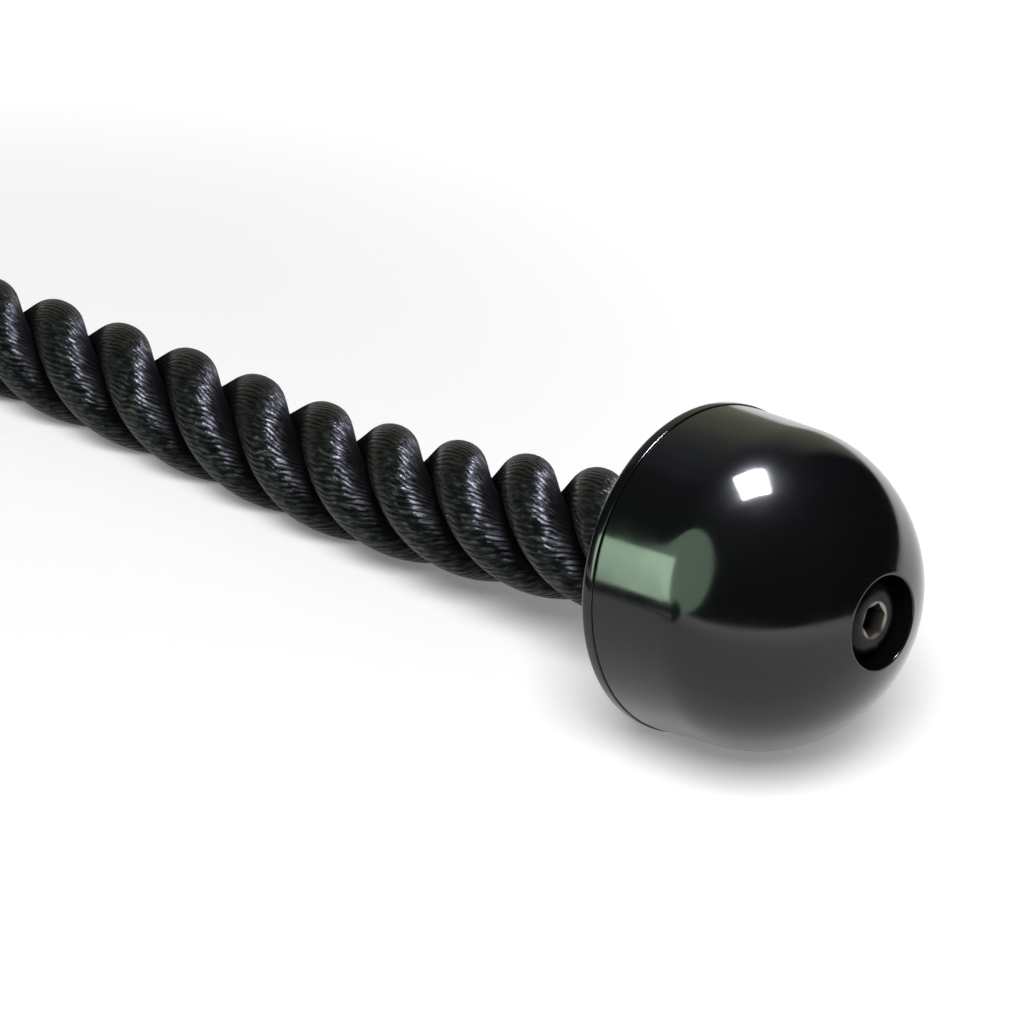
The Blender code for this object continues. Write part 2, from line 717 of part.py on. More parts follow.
def ring_axis():
    """The ring turns about the middle of its bar, which lies on the bottom of the lug's hole."""
    middle_radius = (RING_BORE + RING_BAR) / 2
    bow = middle_radius - math.sqrt(middle_radius**2 - (LUG_THICKNESS / 2) ** 2)
    centre = lug_centre()
    centre.z -= LUG_HOLE_DIAMETER / 2 - RING_BAR / 2 - GAP - bow
    return centre


def ring_droop():
    """The angle at which the ring's far side comes down to the floor."""
    fall = ring_axis().z - RING_BAR / 2 - RING_REST_GAP
    return math.asin(fall / (RING_BORE + RING_BAR))


def attachment_ring():
    """A closed round ring, with its origin in the bar where it turns."""
    bpy.ops.mesh.primitive_torus_add(
        major_radius=(RING_BORE + RING_BAR) / 2, minor_radius=RING_BAR / 2,
        major_segments=RING_STEPS, minor_segments=BAR_SIDES,
    )
    torus = bpy.context.object
    mesh = torus.data.copy()
    bpy.data.objects.remove(torus, do_unlink=True)
    mesh.transform(Matrix.Translation((0, (RING_BORE + RING_BAR) / 2, 0)))
    mesh.shade_smooth()
    return mesh


def rope_stretch(name, points, material, parts, parent):
    """A plain tube for one stretch of rope, placed in its parent's frame."""
    offset = parent.matrix_world.translation
    local = [Vector(point) - offset for point in points]
    rope = tube(name, local, ROPE_RADIUS, parts, ROPE_RINGS)
    rope.data.materials.append(material)
    rope.parent = parent
    return rope


def rope_bend(material, parts, cutters, parent):
    """The rope inside the saddle, pierced by both rivets."""
    path = saddle_path()
    mouths = [mouth_frame(-1), mouth_frame(1)]
    path[0] = mouths[0][0] - GAP / 2 * mouths[0][1]
    path[-1] = mouths[1][0] - GAP / 2 * mouths[1][1]
    core = tube("rope_core", path, ROPE_RADIUS, cutters, ROPE_RINGS)
    body = mesh_object("rope_core", baked(core), cutters)
    for side in (-1, 1):
        add_boolean(body, rivet_way(side, cutters), "DIFFERENCE")
    return finish(baked(body), "rope_bend", material, parts, parent)


def new_empty(name, collection, parent=None, location=(0, 0, 0)):
    empty = bpy.data.objects.new(name, None)
    collection.objects.link(empty)
    empty.empty_display_size = ROPE_DIAMETER
    empty.parent = parent
    empty.location = location
    bpy.context.view_layer.update()
    return empty


def build_leg(side, word, pieces, finishes, parts, root):
    """One leg of rope with its ball end, under an empty on the axis that it swings about."""
    mouth, out, _ = mouth_frame(side)
    points = smooth_route([tuple(point) for point in leg_points(side)], ROUTE_STEP)
    frame = ball_frame(side)
    apex = frame.to_3x3() @ Vector((0, 0, 1))
    pivot, _ = face_at(points, FLEX_SPAN / 2)
    split = face_at(points, FLEX_SPAN)
    leg = new_empty(f"leg_{word}", parts, root, (pivot.x, pivot.y, 0))
    flex = square_run(points, (mouth, out), split)
    free = square_run(points[:-1], split, (frame @ Vector((0, 0, ROPE_END)), apex))
    free.insert(-2, frame.translation)
    rope_stretch(f"rope_flex_{word}", flex, finishes["rope"], parts, root)
    rope_stretch(f"rope_leg_{word}", free, finishes["rope"], parts, leg)
    end = new_empty(f"ball_end_{word}", parts, leg)
    end.matrix_local = Matrix.Translation(-leg.location) @ frame
    for name, (mesh, finish_name) in pieces.items():
        finish(mesh, f"{name}_{word}", finishes[finish_name], parts, end)
    print(f"leg_{word} pivot", tuple(round(v, 5) for v in pivot))
    print(f"leg_{word} mouth", tuple(round(v, 5) for v in mouth))
    print(f"leg_{word} free length", round(float(travelled_along(points)[-1]), 4))


def centre_over_origin(root):
    """Slides the whole part along Y so that the rigid pieces' box is centred on the origin."""
    bpy.context.view_layer.update()
    rigid = [obj for obj in root.children_recursive if obj.type == "MESH"]
    along = [(obj.matrix_world @ vertex.co).y for obj in rigid for vertex in obj.data.vertices]
    root.location.y -= (min(along) + max(along)) / 2
    bpy.context.view_layer.update()


def main():
    clear_scene()
    parts = new_collection("triceps_rope")
    cutters = new_collection("cutters")
    finishes = {
        "rope": new_material("nylon_rope", (0.018, 0.018, 0.020), 0.55),
        "plastic": new_material("moulded_black_plastic", (0.012, 0.012, 0.013), 0.12),
        "plated": new_material("zinc_plated_steel", (0.62, 0.63, 0.64), 0.30, 1.0),
        "black_steel": new_material("blackened_bolt_steel", (0.05, 0.05, 0.05), 0.38, 0.9),
        "ferrule": new_material("mild_steel", (0.45, 0.46, 0.47), 0.42, 1.0),
    }
    root = new_empty("centre_fitting", parts)
    finish(saddle_tube(cutters), "saddle_tube", finishes["plated"], parts, root)
    finish(lug_plate(cutters), "lug_plate", finishes["plated"], parts, root)
    rope_bend(finishes["rope"], parts, cutters, root)
    rivet = rope_rivet(cutters)
    for side, word in ((1, "right"), (-1, "left")):
        finish(rivet, f"rope_rivet_{word}", finishes["plated"], parts, root, rivet_frame(side))
    turn = new_empty("ring_turn", parts, root, ring_axis())
    ring = finish(attachment_ring(), "attachment_ring", finishes["plated"], parts, turn)
    ring.rotation_euler.x = -ring_droop()
    pieces = {
        "ball_dome": (ball_dome(cutters), "plastic"),
        "ball_base": (ball_base(cutters), "plastic"),
        "end_ferrule": (end_ferrule(cutters), "ferrule"),
        "weld_nut": (weld_nut(cutters), "ferrule"),
        "head_washer": (head_washer(cutters), "plated"),
        "ball_bolt": (ball_bolt(cutters), "black_steel"),
    }
    for side, word in ((1, "right"), (-1, "left")):
        build_leg(side, word, pieces, finishes, parts, root)
    centre_over_origin(root)
    print("root y", round(root.location.y, 5))
    print("ring axis", tuple(round(v, 5) for v in turn.matrix_world.translation))
    print("ring droop", round(math.degrees(ring_droop()), 3))


main()
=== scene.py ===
import math

import bpy
import numpy as np
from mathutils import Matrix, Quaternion, Vector


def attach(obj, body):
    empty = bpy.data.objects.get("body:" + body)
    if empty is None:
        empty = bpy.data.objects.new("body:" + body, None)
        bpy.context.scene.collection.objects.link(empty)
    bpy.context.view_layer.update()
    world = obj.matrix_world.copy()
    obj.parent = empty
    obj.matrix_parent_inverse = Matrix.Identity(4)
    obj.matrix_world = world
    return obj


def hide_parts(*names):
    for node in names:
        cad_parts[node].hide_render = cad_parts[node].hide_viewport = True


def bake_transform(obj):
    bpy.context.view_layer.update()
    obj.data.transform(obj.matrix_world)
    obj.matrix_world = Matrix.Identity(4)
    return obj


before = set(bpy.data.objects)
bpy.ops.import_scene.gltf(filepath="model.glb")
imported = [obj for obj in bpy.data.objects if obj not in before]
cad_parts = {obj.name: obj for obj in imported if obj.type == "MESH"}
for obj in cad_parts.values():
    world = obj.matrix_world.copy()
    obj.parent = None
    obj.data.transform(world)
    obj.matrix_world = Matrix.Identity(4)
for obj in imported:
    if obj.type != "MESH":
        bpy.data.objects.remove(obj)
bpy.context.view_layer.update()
print("frame loaded,", len(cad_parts), "nodes")

sides = {"right": 1, "left": -1}


def addObject(name, data):
    thing = bpy.data.objects.new(name, data)
    bpy.context.scene.collection.objects.link(thing)
    return thing


# The camera stands where the photographer stood: low, in front and to the left of the right ball.
camera = {
    "place": (-0.0732, -0.5197, 0.2580),
    "looksDown": 28.06,  # degrees
    "heading": -30.12,  # degrees about Z, from +Y
    "lens": 76.54,  # mm on a 36 mm sensor
}

eye = bpy.data.cameras.new("photoCamera")
eye.lens = camera["lens"]
eye.sensor_width = 36.0
eye.clip_start = 0.01
eyeHolder = addObject("photoCamera", eye)
eyeHolder.location = camera["place"]
eyeHolder.rotation_euler = (math.radians(90 - camera["looksDown"]), 0, math.radians(camera["heading"]))
bpy.context.scene.camera = eyeHolder


# Shared shapes

zAxis = np.array([0.0, 0.0, 1.0])


def unit(vectors):
    return vectors / np.linalg.norm(vectors, axis=-1, keepdims=True)


def travelled(points):
    return np.concatenate([[0], np.cumsum(np.linalg.norm(np.diff(points, axis=0), axis=1))])


# A row of angles once round, without the first one again.
def wholeTurn(steps):
    return np.linspace(0, math.tau, steps, endpoint=False)[None, :]


# The way that lies at an angle from one direction towards another: cos * first + sin * second
def around(angle, first, second):
    return np.cos(angle)[..., None] * first + np.sin(angle)[..., None] * second


# Catmull-Rom: the curve runs through every point, and its slope there is half the step between the
# two neighbours. It is then read again at even steps.
def smoothPath(points, step):
    points = np.asarray(points, float)
    padded = np.concatenate([[2 * points[0] - points[1]], points, [2 * points[-1] - points[-2]]])
    before, start, end, after = (padded[i:len(padded) - 3 + i, None] for i in range(4))
    t = np.linspace(0, 1, 40, endpoint=False)[None, :, None]  # 40 steps per span
    curve = start + (end - before) * t / 2 + (2 * before - 5 * start + 4 * end - after) * t**2 / 2
    curve = curve + (3 * start - before - 3 * end + after) * t**3 / 2
    curve = np.concatenate([curve.reshape(-1, 3), points[-1:]])
    reach = travelled(curve)
    wanted = np.linspace(0, reach[-1], max(3, round(reach[-1] / step) + 1))
    return np.stack([np.interp(wanted, reach, curve[:, k]) for k in range(3)], axis=1)


# Two directions across a path: level = Z x along, and up = along x level. Along is the mean of so
# many steps on each side.
def acrossPath(points, smoothing):
    along = np.gradient(points, axis=0)
    wide = np.pad(along, ((smoothing, smoothing), (0, 0)), mode="edge")
    along = unit(sum(wide[i:i + len(along)] for i in range(2 * smoothing + 1)))
    level = unit(np.cross(zAxis, along))
    return level, np.cross(along, level)


# A grid of points [row, column] becomes a closed mesh. Columns close on themselves. Rows do too on a
# ring-shaped piece, and otherwise each end ring is closed by a fan to its middle.
def meshFromGrid(name, grid, ringShaped=False, cornerMap=None, sharpAngle=35.0):
    rows, columns = grid.shape[:2]
    points = grid.reshape(-1, 3)
    index = np.arange(rows * columns).reshape(rows, columns)
    low = index if ringShaped else index[:-1]
    high = np.roll(index, -1, axis=0) if ringShaped else index[1:]
    quads = np.stack([low, np.roll(low, -1, axis=1), np.roll(high, -1, axis=1), high], axis=-1).reshape(-1, 4)
    fans = np.zeros((0, 3), int)
    if not ringShaped:
        first, last = index[0], index[-1]
        fans = np.concatenate([
            np.stack([np.roll(first, -1), first, np.full(columns, len(points))], axis=-1),
            np.stack([last, np.roll(last, -1), np.full(columns, len(points) + 1)], axis=-1),
        ])
        points = np.concatenate([points, [grid[0].mean(axis=0), grid[-1].mean(axis=0)]])
    triangles = np.concatenate([quads[:, [0, 1, 2]], quads[:, [0, 2, 3]], fans])
    a, b, c = (points[triangles[:, k]] for k in range(3))
    volume = np.einsum("ij,ij->i", a, np.cross(b, c)).sum()
    if volume < 0:  # the faces point inwards
        quads, fans = quads[:, ::-1], fans[:, ::-1]
        cornerMap = None if cornerMap is None else cornerMap[:, ::-1]
    mesh = bpy.data.meshes.new(name)
    mesh.from_pydata(points.tolist(), [], quads.tolist() + fans.tolist())
    mesh.shade_smooth()
    if cornerMap is not None:
        layer = mesh.uv_layers.new(name="yarns")
        values = np.concatenate([cornerMap.reshape(-1, 2), np.zeros((fans.size, 2))])
        layer.data.foreach_set("uv", values.astype(np.float32).ravel())
    else:
        mesh.set_sharp_from_angle(angle=math.radians(sharpAngle))
    return mesh


# Puts a mesh in the scene under its own name.
def place(mesh, body, material, replaced=()):
    piece = addObject(mesh.name, mesh)
    mesh.materials.append(material)
    if body:
        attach(piece, body)
    if replaced:
        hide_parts(*replaced)
    return piece


# An arc between two angles in degrees, for the broken edges of a profile.
def corner(centre, radius, startAngle, endAngle, steps):
    turn = np.radians(np.linspace(startAngle, endAngle, steps + 1))
    return np.stack([centre[0] + radius * np.cos(turn), centre[1] + radius * np.sin(turn)], axis=1)


# Each (radius, height) of the profile goes once round the axis:
# point = centre + height * axis + radius * (cos t * across + sin t * beside)
def turnedGrid(profile, frameAt, steps):
    centre, across, beside, axis = frameAt
    radius, height = np.asarray(profile, float).T[:, :, None, None]
    return centre + height * axis + radius * around(wholeTurn(steps), across, beside)


# Materials

def linearColour(hexColour):
    channels = [int(hexColour[i:i + 2], 16) / 255 for i in (1, 3, 5)]
    return (*[c / 12.92 if c <= 0.04045 else ((c + 0.055) / 1.055) ** 2.4 for c in channels], 1.0)


# An input is a value, or the output that is linked to it.
def setInputs(tree, node, inputs):
    for name, value in inputs.items():
        if isinstance(value, bpy.types.NodeSocket):
            tree.links.new(value, node.inputs[name])
        else:
            node.inputs[name].default_value = value


# Adds one node and returns one of its outputs.
def addNode(tree, kind, inputs=None, output=0, **settings):
    node = tree.nodes.new("ShaderNode" + kind)
    for name, value in settings.items():
        setattr(node, name, value)
    setInputs(tree, node, inputs or {})
    return node.outputs[output]


def newMaterial(name):
    material = bpy.data.materials.new(name)
    material.use_nodes = True
    return material, material.node_tree, material.node_tree.nodes["Principled BSDF"]


# Twisted multifilament nylon, dyed black: round yarns about 1.3 mm wide. Fibres shine across their
# length and not along it, so each strand carries one narrow band of short bright dashes, and the rest
# stays soot-black. Painted shade darkens the colour and the shine between the yarns, on sunk yarns and
# in the grooves between strands. The map holds millimetres along (x) and the yarn's number (y);
# strandCrown is 1 on top of a strand and 0 in the groove.
def twistedNylon():
    material, tree, shader = newMaterial("twistedNylonYarn")
    yarns = addNode(tree, "UVMap", output="UV", uv_map="yarns")
    tangent = addNode(tree, "Tangent", direction_type="UV_MAP", uv_map="yarns")
    crown = addNode(tree, "Attribute", output="Fac", attribute_name="strandCrown")
    # yarns wander by up to a third of their width over some 6 mm
    wanderMap = addNode(tree, "Mapping", {"Vector": yarns, "Scale": (0.16, 0.25, 1.0)})
    wander = addNode(tree, "TexNoise", {"Vector": wanderMap, "Scale": 1.0, "Detail": 1.0})
    across = addNode(tree, "SeparateXYZ", {"Vector": yarns}, output="Y")
    across = addNode(tree, "Math", {0: wander, 1: 1.8, 2: across}, operation="MULTIPLY_ADD")
    share = addNode(tree, "Math", {0: across}, operation="FRACT")
    offset = addNode(tree, "Math", {0: share, 1: 2.0, 2: -1.0}, operation="MULTIPLY_ADD")
    square = addNode(tree, "Math", {0: offset, 1: offset}, operation="MULTIPLY")
    roundYarn = addNode(tree, "Math", {0: 1.0, 1: square}, operation="SUBTRACT")
    # fibres less than half a yarn wide that show for some 3 mm before they dip out of sight
    fibreMap = addNode(tree, "Mapping", {"Vector": yarns, "Scale": (0.33, 2.4, 1.0)})
    fibres = addNode(tree, "TexNoise", {
        "Vector": fibreMap, "Scale": 1.0, "Detail": 2.0, "Roughness": 0.6})
    # whole yarns rise and sink every 3 mm or so, which breaks the shine into dashes
    waveMap = addNode(tree, "Mapping", {"Vector": yarns, "Scale": (0.34, 0.8, 1.0)})
    waves = addNode(tree, "TexNoise", {
        "Vector": waveMap, "Scale": 1.0, "Detail": 2.0, "Roughness": 0.55})
    height = addNode(tree, "Math", {0: fibres, 1: 0.25, 2: roundYarn}, operation="MULTIPLY_ADD")
    height = addNode(tree, "Math", {0: waves, 1: 1.2, 2: height}, operation="MULTIPLY_ADD")
    bump = addNode(tree, "Bump", {"Height": height, "Strength": 0.85, "Distance": 0.00034})
    # painted shade in the grooves between strands: 1 on a strand's top, down to 0 in the groove
    paintedGrooveShade = addNode(tree, "MapRange", {
        "Value": crown, "From Min": 0.30, "From Max": 0.84}, interpolation_type="SMOOTHSTEP")
    # painted shade on sunk yarns: their shine and colour drop nearly to nothing
    raised = addNode(tree, "MapRange", {
        "Value": waves, "From Min": 0.44, "From Max": 0.62, "To Min": 0.04})
    fine = addNode(tree, "MapRange", {
        "Value": fibres, "From Min": 0.36, "From Max": 0.60, "To Min": 0.55})
    # painted light and shade: bright on raised yarns, dark between yarns, on sunk yarns and in grooves
    paintedLightAndShade = addNode(tree, "Math", {0: roundYarn, 1: raised}, operation="MULTIPLY")
    paintedLightAndShade = addNode(tree, "Math", {0: paintedLightAndShade, 1: fine}, operation="MULTIPLY")
    paintedLightAndShade = addNode(tree, "Math", {0: paintedLightAndShade, 1: paintedGrooveShade}, operation="MULTIPLY")
    # painted shade on the shine: the specular tint goes nearly black where the painted shade falls
    paintedShadeOnShine = addNode(tree, "Mix", {
        0: paintedLightAndShade, 6: linearColour("#060607"), 7: linearColour("#f2f1ff")}, 2, data_type="RGBA")
    # painted shade in the base colour, by the same mask
    tone = addNode(tree, "Mix", {
        0: paintedLightAndShade, 6: linearColour("#050505"), 7: linearColour("#101311")}, 2, data_type="RGBA")
    # fuzzy in the grooves, sleek on top
    fuzz = addNode(tree, "MapRange", {"Value": paintedGrooveShade, "To Min": 0.75, "To Max": 0.30})
    rough = addNode(tree, "Math", {0: fibres, 1: 0.16, 2: fuzz}, operation="MULTIPLY_ADD")
    setInputs(tree, shader, {
        "Base Color": tone, "Specular Tint": paintedShadeOnShine, "Roughness": rough, "Normal": bump, "Tangent": tangent,
        "Anisotropic": 0.94, "Anisotropic Rotation": 0.25, "Specular IOR Level": 0.45})
    return material


# Injection-moulded ABS from a polished mould: near-black, mirror-like, faintly rippled by cooling, its
# shine made uneven by handling. The coat is the scuffed skin, which blurs a halo round a lamp.
def mouldedAbs():
    material, tree, shader = newMaterial("polishedMouldedAbs")
    spot = addNode(tree, "TexCoord", output="Object")
    ripple = addNode(tree, "TexNoise", {"Vector": spot, "Scale": 55.0, "Detail": 1.0})
    grainScale = 1.0 / 0.0006  # a grain every 0.6 mm, the finest that shows
    grain = addNode(tree, "TexNoise", {"Vector": spot, "Scale": grainScale, "Detail": 2.0})
    height = addNode(tree, "Math", {0: grain, 1: 0.02, 2: ripple}, operation="MULTIPLY_ADD")
    bump = addNode(tree, "Bump", {"Height": height, "Strength": 0.35, "Distance": 0.00030})
    wear = addNode(tree, "TexNoise", {"Vector": spot, "Scale": 90.0, "Detail": 6.0, "Roughness": 0.7})
    rough = addNode(tree, "MapRange", {
        "Value": wear, "From Min": 0.35, "From Max": 0.75, "To Min": 0.075, "To Max": 0.16})
    tone = addNode(tree, "Mix", {
        0: wear, 6: linearColour("#060606"), 7: linearColour("#0a0b0a")}, 2, data_type="RGBA")
    setInputs(tree, shader, {
        "Base Color": tone, "Roughness": rough, "Normal": bump, "IOR": 1.43,
        "Coat Weight": 0.05, "Coat Roughness": 0.27})
    return material


# Steel under bright zinc: a pale grey mirror, cloudy where the bath left it. The lines of drawing are
# too fine to see one by one, so its roughness shows them as a soft haze.
def platedSteel():
    material, tree, shader = newMaterial("brightZincPlatedSteel")
    spot = addNode(tree, "TexCoord", output="Object")
    cloud = addNode(tree, "TexNoise", {"Vector": spot, "Scale": 120.0, "Detail": 5.0, "Roughness": 0.65})
    tone = addNode(tree, "Mix", {
        0: cloud, 6: linearColour("#b9bcbf"), 7: linearColour("#d6d8d9")}, 2, data_type="RGBA")
    rough = addNode(tree, "MapRange", {
        "Value": cloud, "From Min": 0.3, "From Max": 0.7, "To Min": 0.16, "To Max": 0.30})
    pitScale = 1.0 / 0.0008  # a pit every 0.8 mm
    pit = addNode(tree, "TexNoise", {"Vector": spot, "Scale": pitScale, "Detail": 3.0})
    bump = addNode(tree, "Bump", {"Height": pit, "Strength": 0.18, "Distance": 0.00008})
    setInputs(tree, shader, {"Base Color": tone, "Roughness": rough, "Normal": bump, "Metallic": 1.0})
    return material


# Alloy bolt steel with a black oxide skin: charcoal, oily half-gloss, with a faint grey mottle of wear
# and a painted highlight: a pale grey ring round the socket's mouth.
def blackenedSteel():
    material, tree, shader = newMaterial("blackOxideBoltSteel")
    spot = addNode(tree, "TexCoord", output="Object")
    rub = addNode(tree, "TexNoise", {"Vector": spot, "Scale": 400.0, "Detail": 5.0, "Roughness": 0.7})
    # painted highlight on the ring round the socket's mouth, plus a faint mottle of wear from the noise
    wearAndPaintedHighlight = addNode(tree, "Attribute", output="Fac", attribute_name="paintedSocketRing")
    wearAndPaintedHighlight = addNode(tree, "Math", {0: rub, 1: 0.04, 2: wearAndPaintedHighlight}, operation="MULTIPLY_ADD")
    # charcoal, turning pale grey where the highlight is painted
    tone = addNode(tree, "Mix", {
        0: wearAndPaintedHighlight, 6: linearColour("#10100f"), 7: linearColour("#86817a")}, 2, data_type="RGBA")
    rough = addNode(tree, "MapRange", {
        "Value": rub, "From Min": 0.3, "From Max": 0.7, "To Min": 0.28, "To Max": 0.45})
    bump = addNode(tree, "Bump", {"Height": rub, "Strength": 0.2, "Distance": 0.00006})
    setInputs(tree, shader, {"Base Color": tone, "Roughness": rough, "Normal": bump, "Metallic": 0.85})
    return material


# Bare mild steel, drawn and turned: mid grey with a dull sheen.
def mildSteel():
    material, tree, shader = newMaterial("drawnMildSteel")
    spot = addNode(tree, "TexCoord", output="Object")
    cloud = addNode(tree, "TexNoise", {"Vector": spot, "Scale": 150.0, "Detail": 5.0, "Roughness": 0.6})
    tone = addNode(tree, "Mix", {
        0: cloud, 6: linearColour("#8d8f90"), 7: linearColour("#abadae")}, 2, data_type="RGBA")
    rough = addNode(tree, "MapRange", {
        "Value": cloud, "From Min": 0.3, "From Max": 0.7, "To Min": 0.34, "To Max": 0.5})
    setInputs(tree, shader, {"Base Color": tone, "Roughness": rough, "Metallic": 1.0})
    return material


ropeFinish = twistedNylon()
plasticFinish = mouldedAbs()
platedFinish = platedSteel()
boltFinish = blackenedSteel()
ferruleFinish = mildSteel()
print("materials made")


# Where things are

saddle = {
    "centreY": 0.12284,  # of the bend
    "height": 0.0185,
    "bendRadius": 0.042,
    "straight": 0.016,
    "mouthAngle": 24.0,  # degrees, to each side of -Y
    "radius": 0.0185,
    "bore": 0.0153,
    "flare": 0.0016,
    "flareLength": 0.004,
    "edge": 0.0008,
    "lipEdge": 0.0003,  # where the flare meets the mouth
    "outsideRows": 110,
    "insideRows": 60,
    "sides": 128,
}


# A mouth's centre, the way it points, and the way in towards the middle of the V.
def mouthAt(side):
    angle = math.radians(saddle["mouthAngle"])
    out = np.array([side * math.sin(angle), -math.cos(angle), 0.0])
    inward = np.array([-side * math.cos(angle), -math.sin(angle), 0.0])
    bendEnd = np.array([0.0, saddle["centreY"], saddle["height"]]) - saddle["bendRadius"] * inward
    return bendEnd + saddle["straight"] * out, out, inward


# The rope

rope = {
    "diameter": 0.0309,
    "inBores": 0.0302,  # squeezed in the saddle and in the ball
    "squeezedOver": 0.012,
    "lay": 0.06841,  # one turn of a strand
    "layDrift": (-0.091025, 0.023689),  # how the lay tightens and slackens along a leg
    "driftFrom": 0.15,  # distance from the ball at which the drift is none
    "phase": 1.91945,
    "strandOut": 0.27203,  # centre of a strand from the axis, in diameters
    "strandWide": 0.272,  # half the width of a strand, in diameters
    "yarns": 37,  # round one strand
    "yarnTurn": 1.85,  # turns of a yarn round its strand for one turn of the strand, the other way
    "yarnsApart": (0.0, 211.0, 431.0),  # added to the yarns' numbers, so that no two strands are alike
    "columns": 64,  # of faces across each strand
    "saddleRows": 60,
    "step": 0.0009,
    "restsAt": 0.00012,
    "lying": 0.0151,  # height of the centreline on the floor
    "atSaddle": 0.0185,
    "atBall": 0.03462,
    "intoBall": 0.01994,
    "ballTilt": 8.5,  # degrees
    "ballTurn": 11.0,
    "flexEnd": 0.080,
    # (along the mouth's way, in from it, share of the way up to the saddle, share up to the ball)
    "route": [
        (0.0000, 0.0000, 1.000, 0),
        (0.0120, 0.0000, 0.939, 0),
        (0.0260, 0.0000, 0.752, 0),
        (0.0400, 0.0000, 0.500, 0),
        (0.0540, 0.0001, 0.248, 0),
        (0.0680, 0.0002, 0.061, 0),
        (0.0800, 0.0004, 0, 0),
        (0.1050, 0.0009, 0, 0),
        (0.1240, 0.0017, 0, 0),
        (0.1490, 0.0030, 0, 0),
        (0.1740, 0.0047, 0, 0),
        (0.1990, 0.0068, 0, 0),
        (0.2190, 0.0088, 0, 0.003),
        (0.2365, 0.0108, 0, 0.060),
        (0.2535, 0.0130, 0, 0.166),
        (0.2705, 0.0153, 0, 0.308),
        (0.2870, 0.0178, 0, 0.473),
        (0.3030, 0.0203, 0, 0.637),
        (0.3155, 0.0225, 0, 0.768),
        (0.3285, 0.0249, 0, 0.891),
        (0.3413, 0.0273, 0, 1.000),
    ],
}


def legPoints(side):
    mouth, out, inward = mouthAt(side)
    along, across, saddleShare, ballShare = np.array(rope["route"]).T[:, :, None]
    points = mouth + along * out + across * inward
    rise = saddleShare * (rope["atSaddle"] - rope["lying"]) + ballShare * (rope["atBall"] - rope["lying"])
    points[:, 2] = rope["lying"] + rise[:, 0]
    return points


# The ball's frame: the centre of its base, the way down to the floor, the level way, and its axis.
def ballFrameAt(side):
    _, out, inward = mouthAt(side)
    turn, tilt = math.radians(rope["ballTurn"]), math.radians(rope["ballTilt"])
    flat = math.cos(turn) * out + math.sin(turn) * inward
    axis = unit(math.cos(tilt) * flat + math.sin(tilt) * zAxis)
    level = unit(np.cross(zAxis, axis))
    return legPoints(side)[-1], np.cross(level, axis), level, axis


# Three strands, each an ellipse that leans on its neighbours, turn about the rope's centreline. At an
# angle u round a strand's own centre the surface is at
#   (out + deep * cos u, wide * sin u)
# in the strand's frame, from the valley on one side to the valley on the other, and that frame turns
# with the lay. Along a yarn u - yarnTurn * turn stays the same, so it lies along the rope on a crown.
def strandSection():
    out, wide = rope["strandOut"], rope["strandWide"]
    deep = 0.5 - out
    # The valley is where the ellipse crosses the ray at 60 degrees from the crown.
    cosine, sine = math.cos(math.pi / 3), math.sin(math.pi / 3)
    a = (cosine / deep) ** 2 + (sine / wide) ** 2
    b = -2 * out * cosine / deep**2
    c = (out / deep) ** 2 - 1
    reach = (-b + math.sqrt(b * b - 4 * a * c)) / (2 * a)
    valley = math.atan2(reach * sine / wide, (reach * cosine - out) / deep)
    u = np.linspace(-valley, valley, rope["columns"] + 1)
    return u, out + deep * np.cos(u), wide * np.sin(u)


# That section at every point of a line, turned back by the turn there:
#   point = line + distance from the axis * (cos(angle) * level + sin(angle) * up)
def ropeGrid(line, turn, diameter, smoothing):
    u, radial, sideways = strandSection()
    level, up = acrossPath(line, smoothing)
    strand = np.arange(3)[:, None] * math.tau / 3
    angle = (np.arctan2(sideways, radial)[None, :-1] + strand).ravel()[None, :] - turn[:, None]
    length = np.tile(np.hypot(radial, sideways)[:-1], 3)[None, :] * diameter[:, None]
    grid = line[:, None] + length[..., None] * around(angle, level[:, None], up[:, None])
    grid[..., 2] = np.maximum(grid[..., 2], rope["restsAt"])  # it flattens a little where it lies
    return grid


# Millimetres along and yarn number, for the four corners of every face.
def yarnMap(reach, turn):
    u = strandSection()[0]
    count = len(reach)
    phase = (u[None, :] - rope["yarnTurn"] * turn[:, None]) * rope["yarns"] / math.tau
    number = phase[:, None, :] + np.array(rope["yarnsApart"])[None, :, None]
    left, right = number[:, :, :-1].reshape(count, -1), number[:, :, 1:].reshape(count, -1)
    along = np.broadcast_to(reach[:, None] * 1000, left.shape)
    corners = np.stack([
        np.stack([along[:-1], left[:-1]], axis=-1), np.stack([along[:-1], right[:-1]], axis=-1),
        np.stack([along[1:], right[1:]], axis=-1), np.stack([along[1:], left[1:]], axis=-1),
    ], axis=2)
    return corners.reshape(-1, 4, 2)


def markStrands(mesh, gridColumns):
    ends = np.zeros(len(mesh.edges) * 2, np.int32)
    mesh.edges.foreach_get("vertices", ends)
    column = ends.reshape(-1, 2) % gridColumns
    valley = (column[:, 0] == column[:, 1]) & (column[:, 0] % rope["columns"] == 0)
    mark = mesh.attributes.new("sharp_edge", "BOOLEAN", "EDGE")
    mark.data.foreach_set("value", valley)
    # 1 on a strand's crown, and down along a sine to 0 in the groove
    share = np.arange(len(mesh.vertices)) % rope["columns"] / rope["columns"]
    crown = mesh.attributes.new("strandCrown", "FLOAT", "POINT")
    crown.data.foreach_set("value", np.sin(math.pi * share).astype(np.float32))


# How far the strands have turned at a distance from the ball: 2 pi for each lay, times a parabola.
def legTurn(span):
    far = span / rope["driftFrom"] - 1
    drift = 1 + rope["layDrift"][0] * far + rope["layDrift"][1] * far**2
    return math.tau * span / rope["lay"] * drift + rope["phase"]


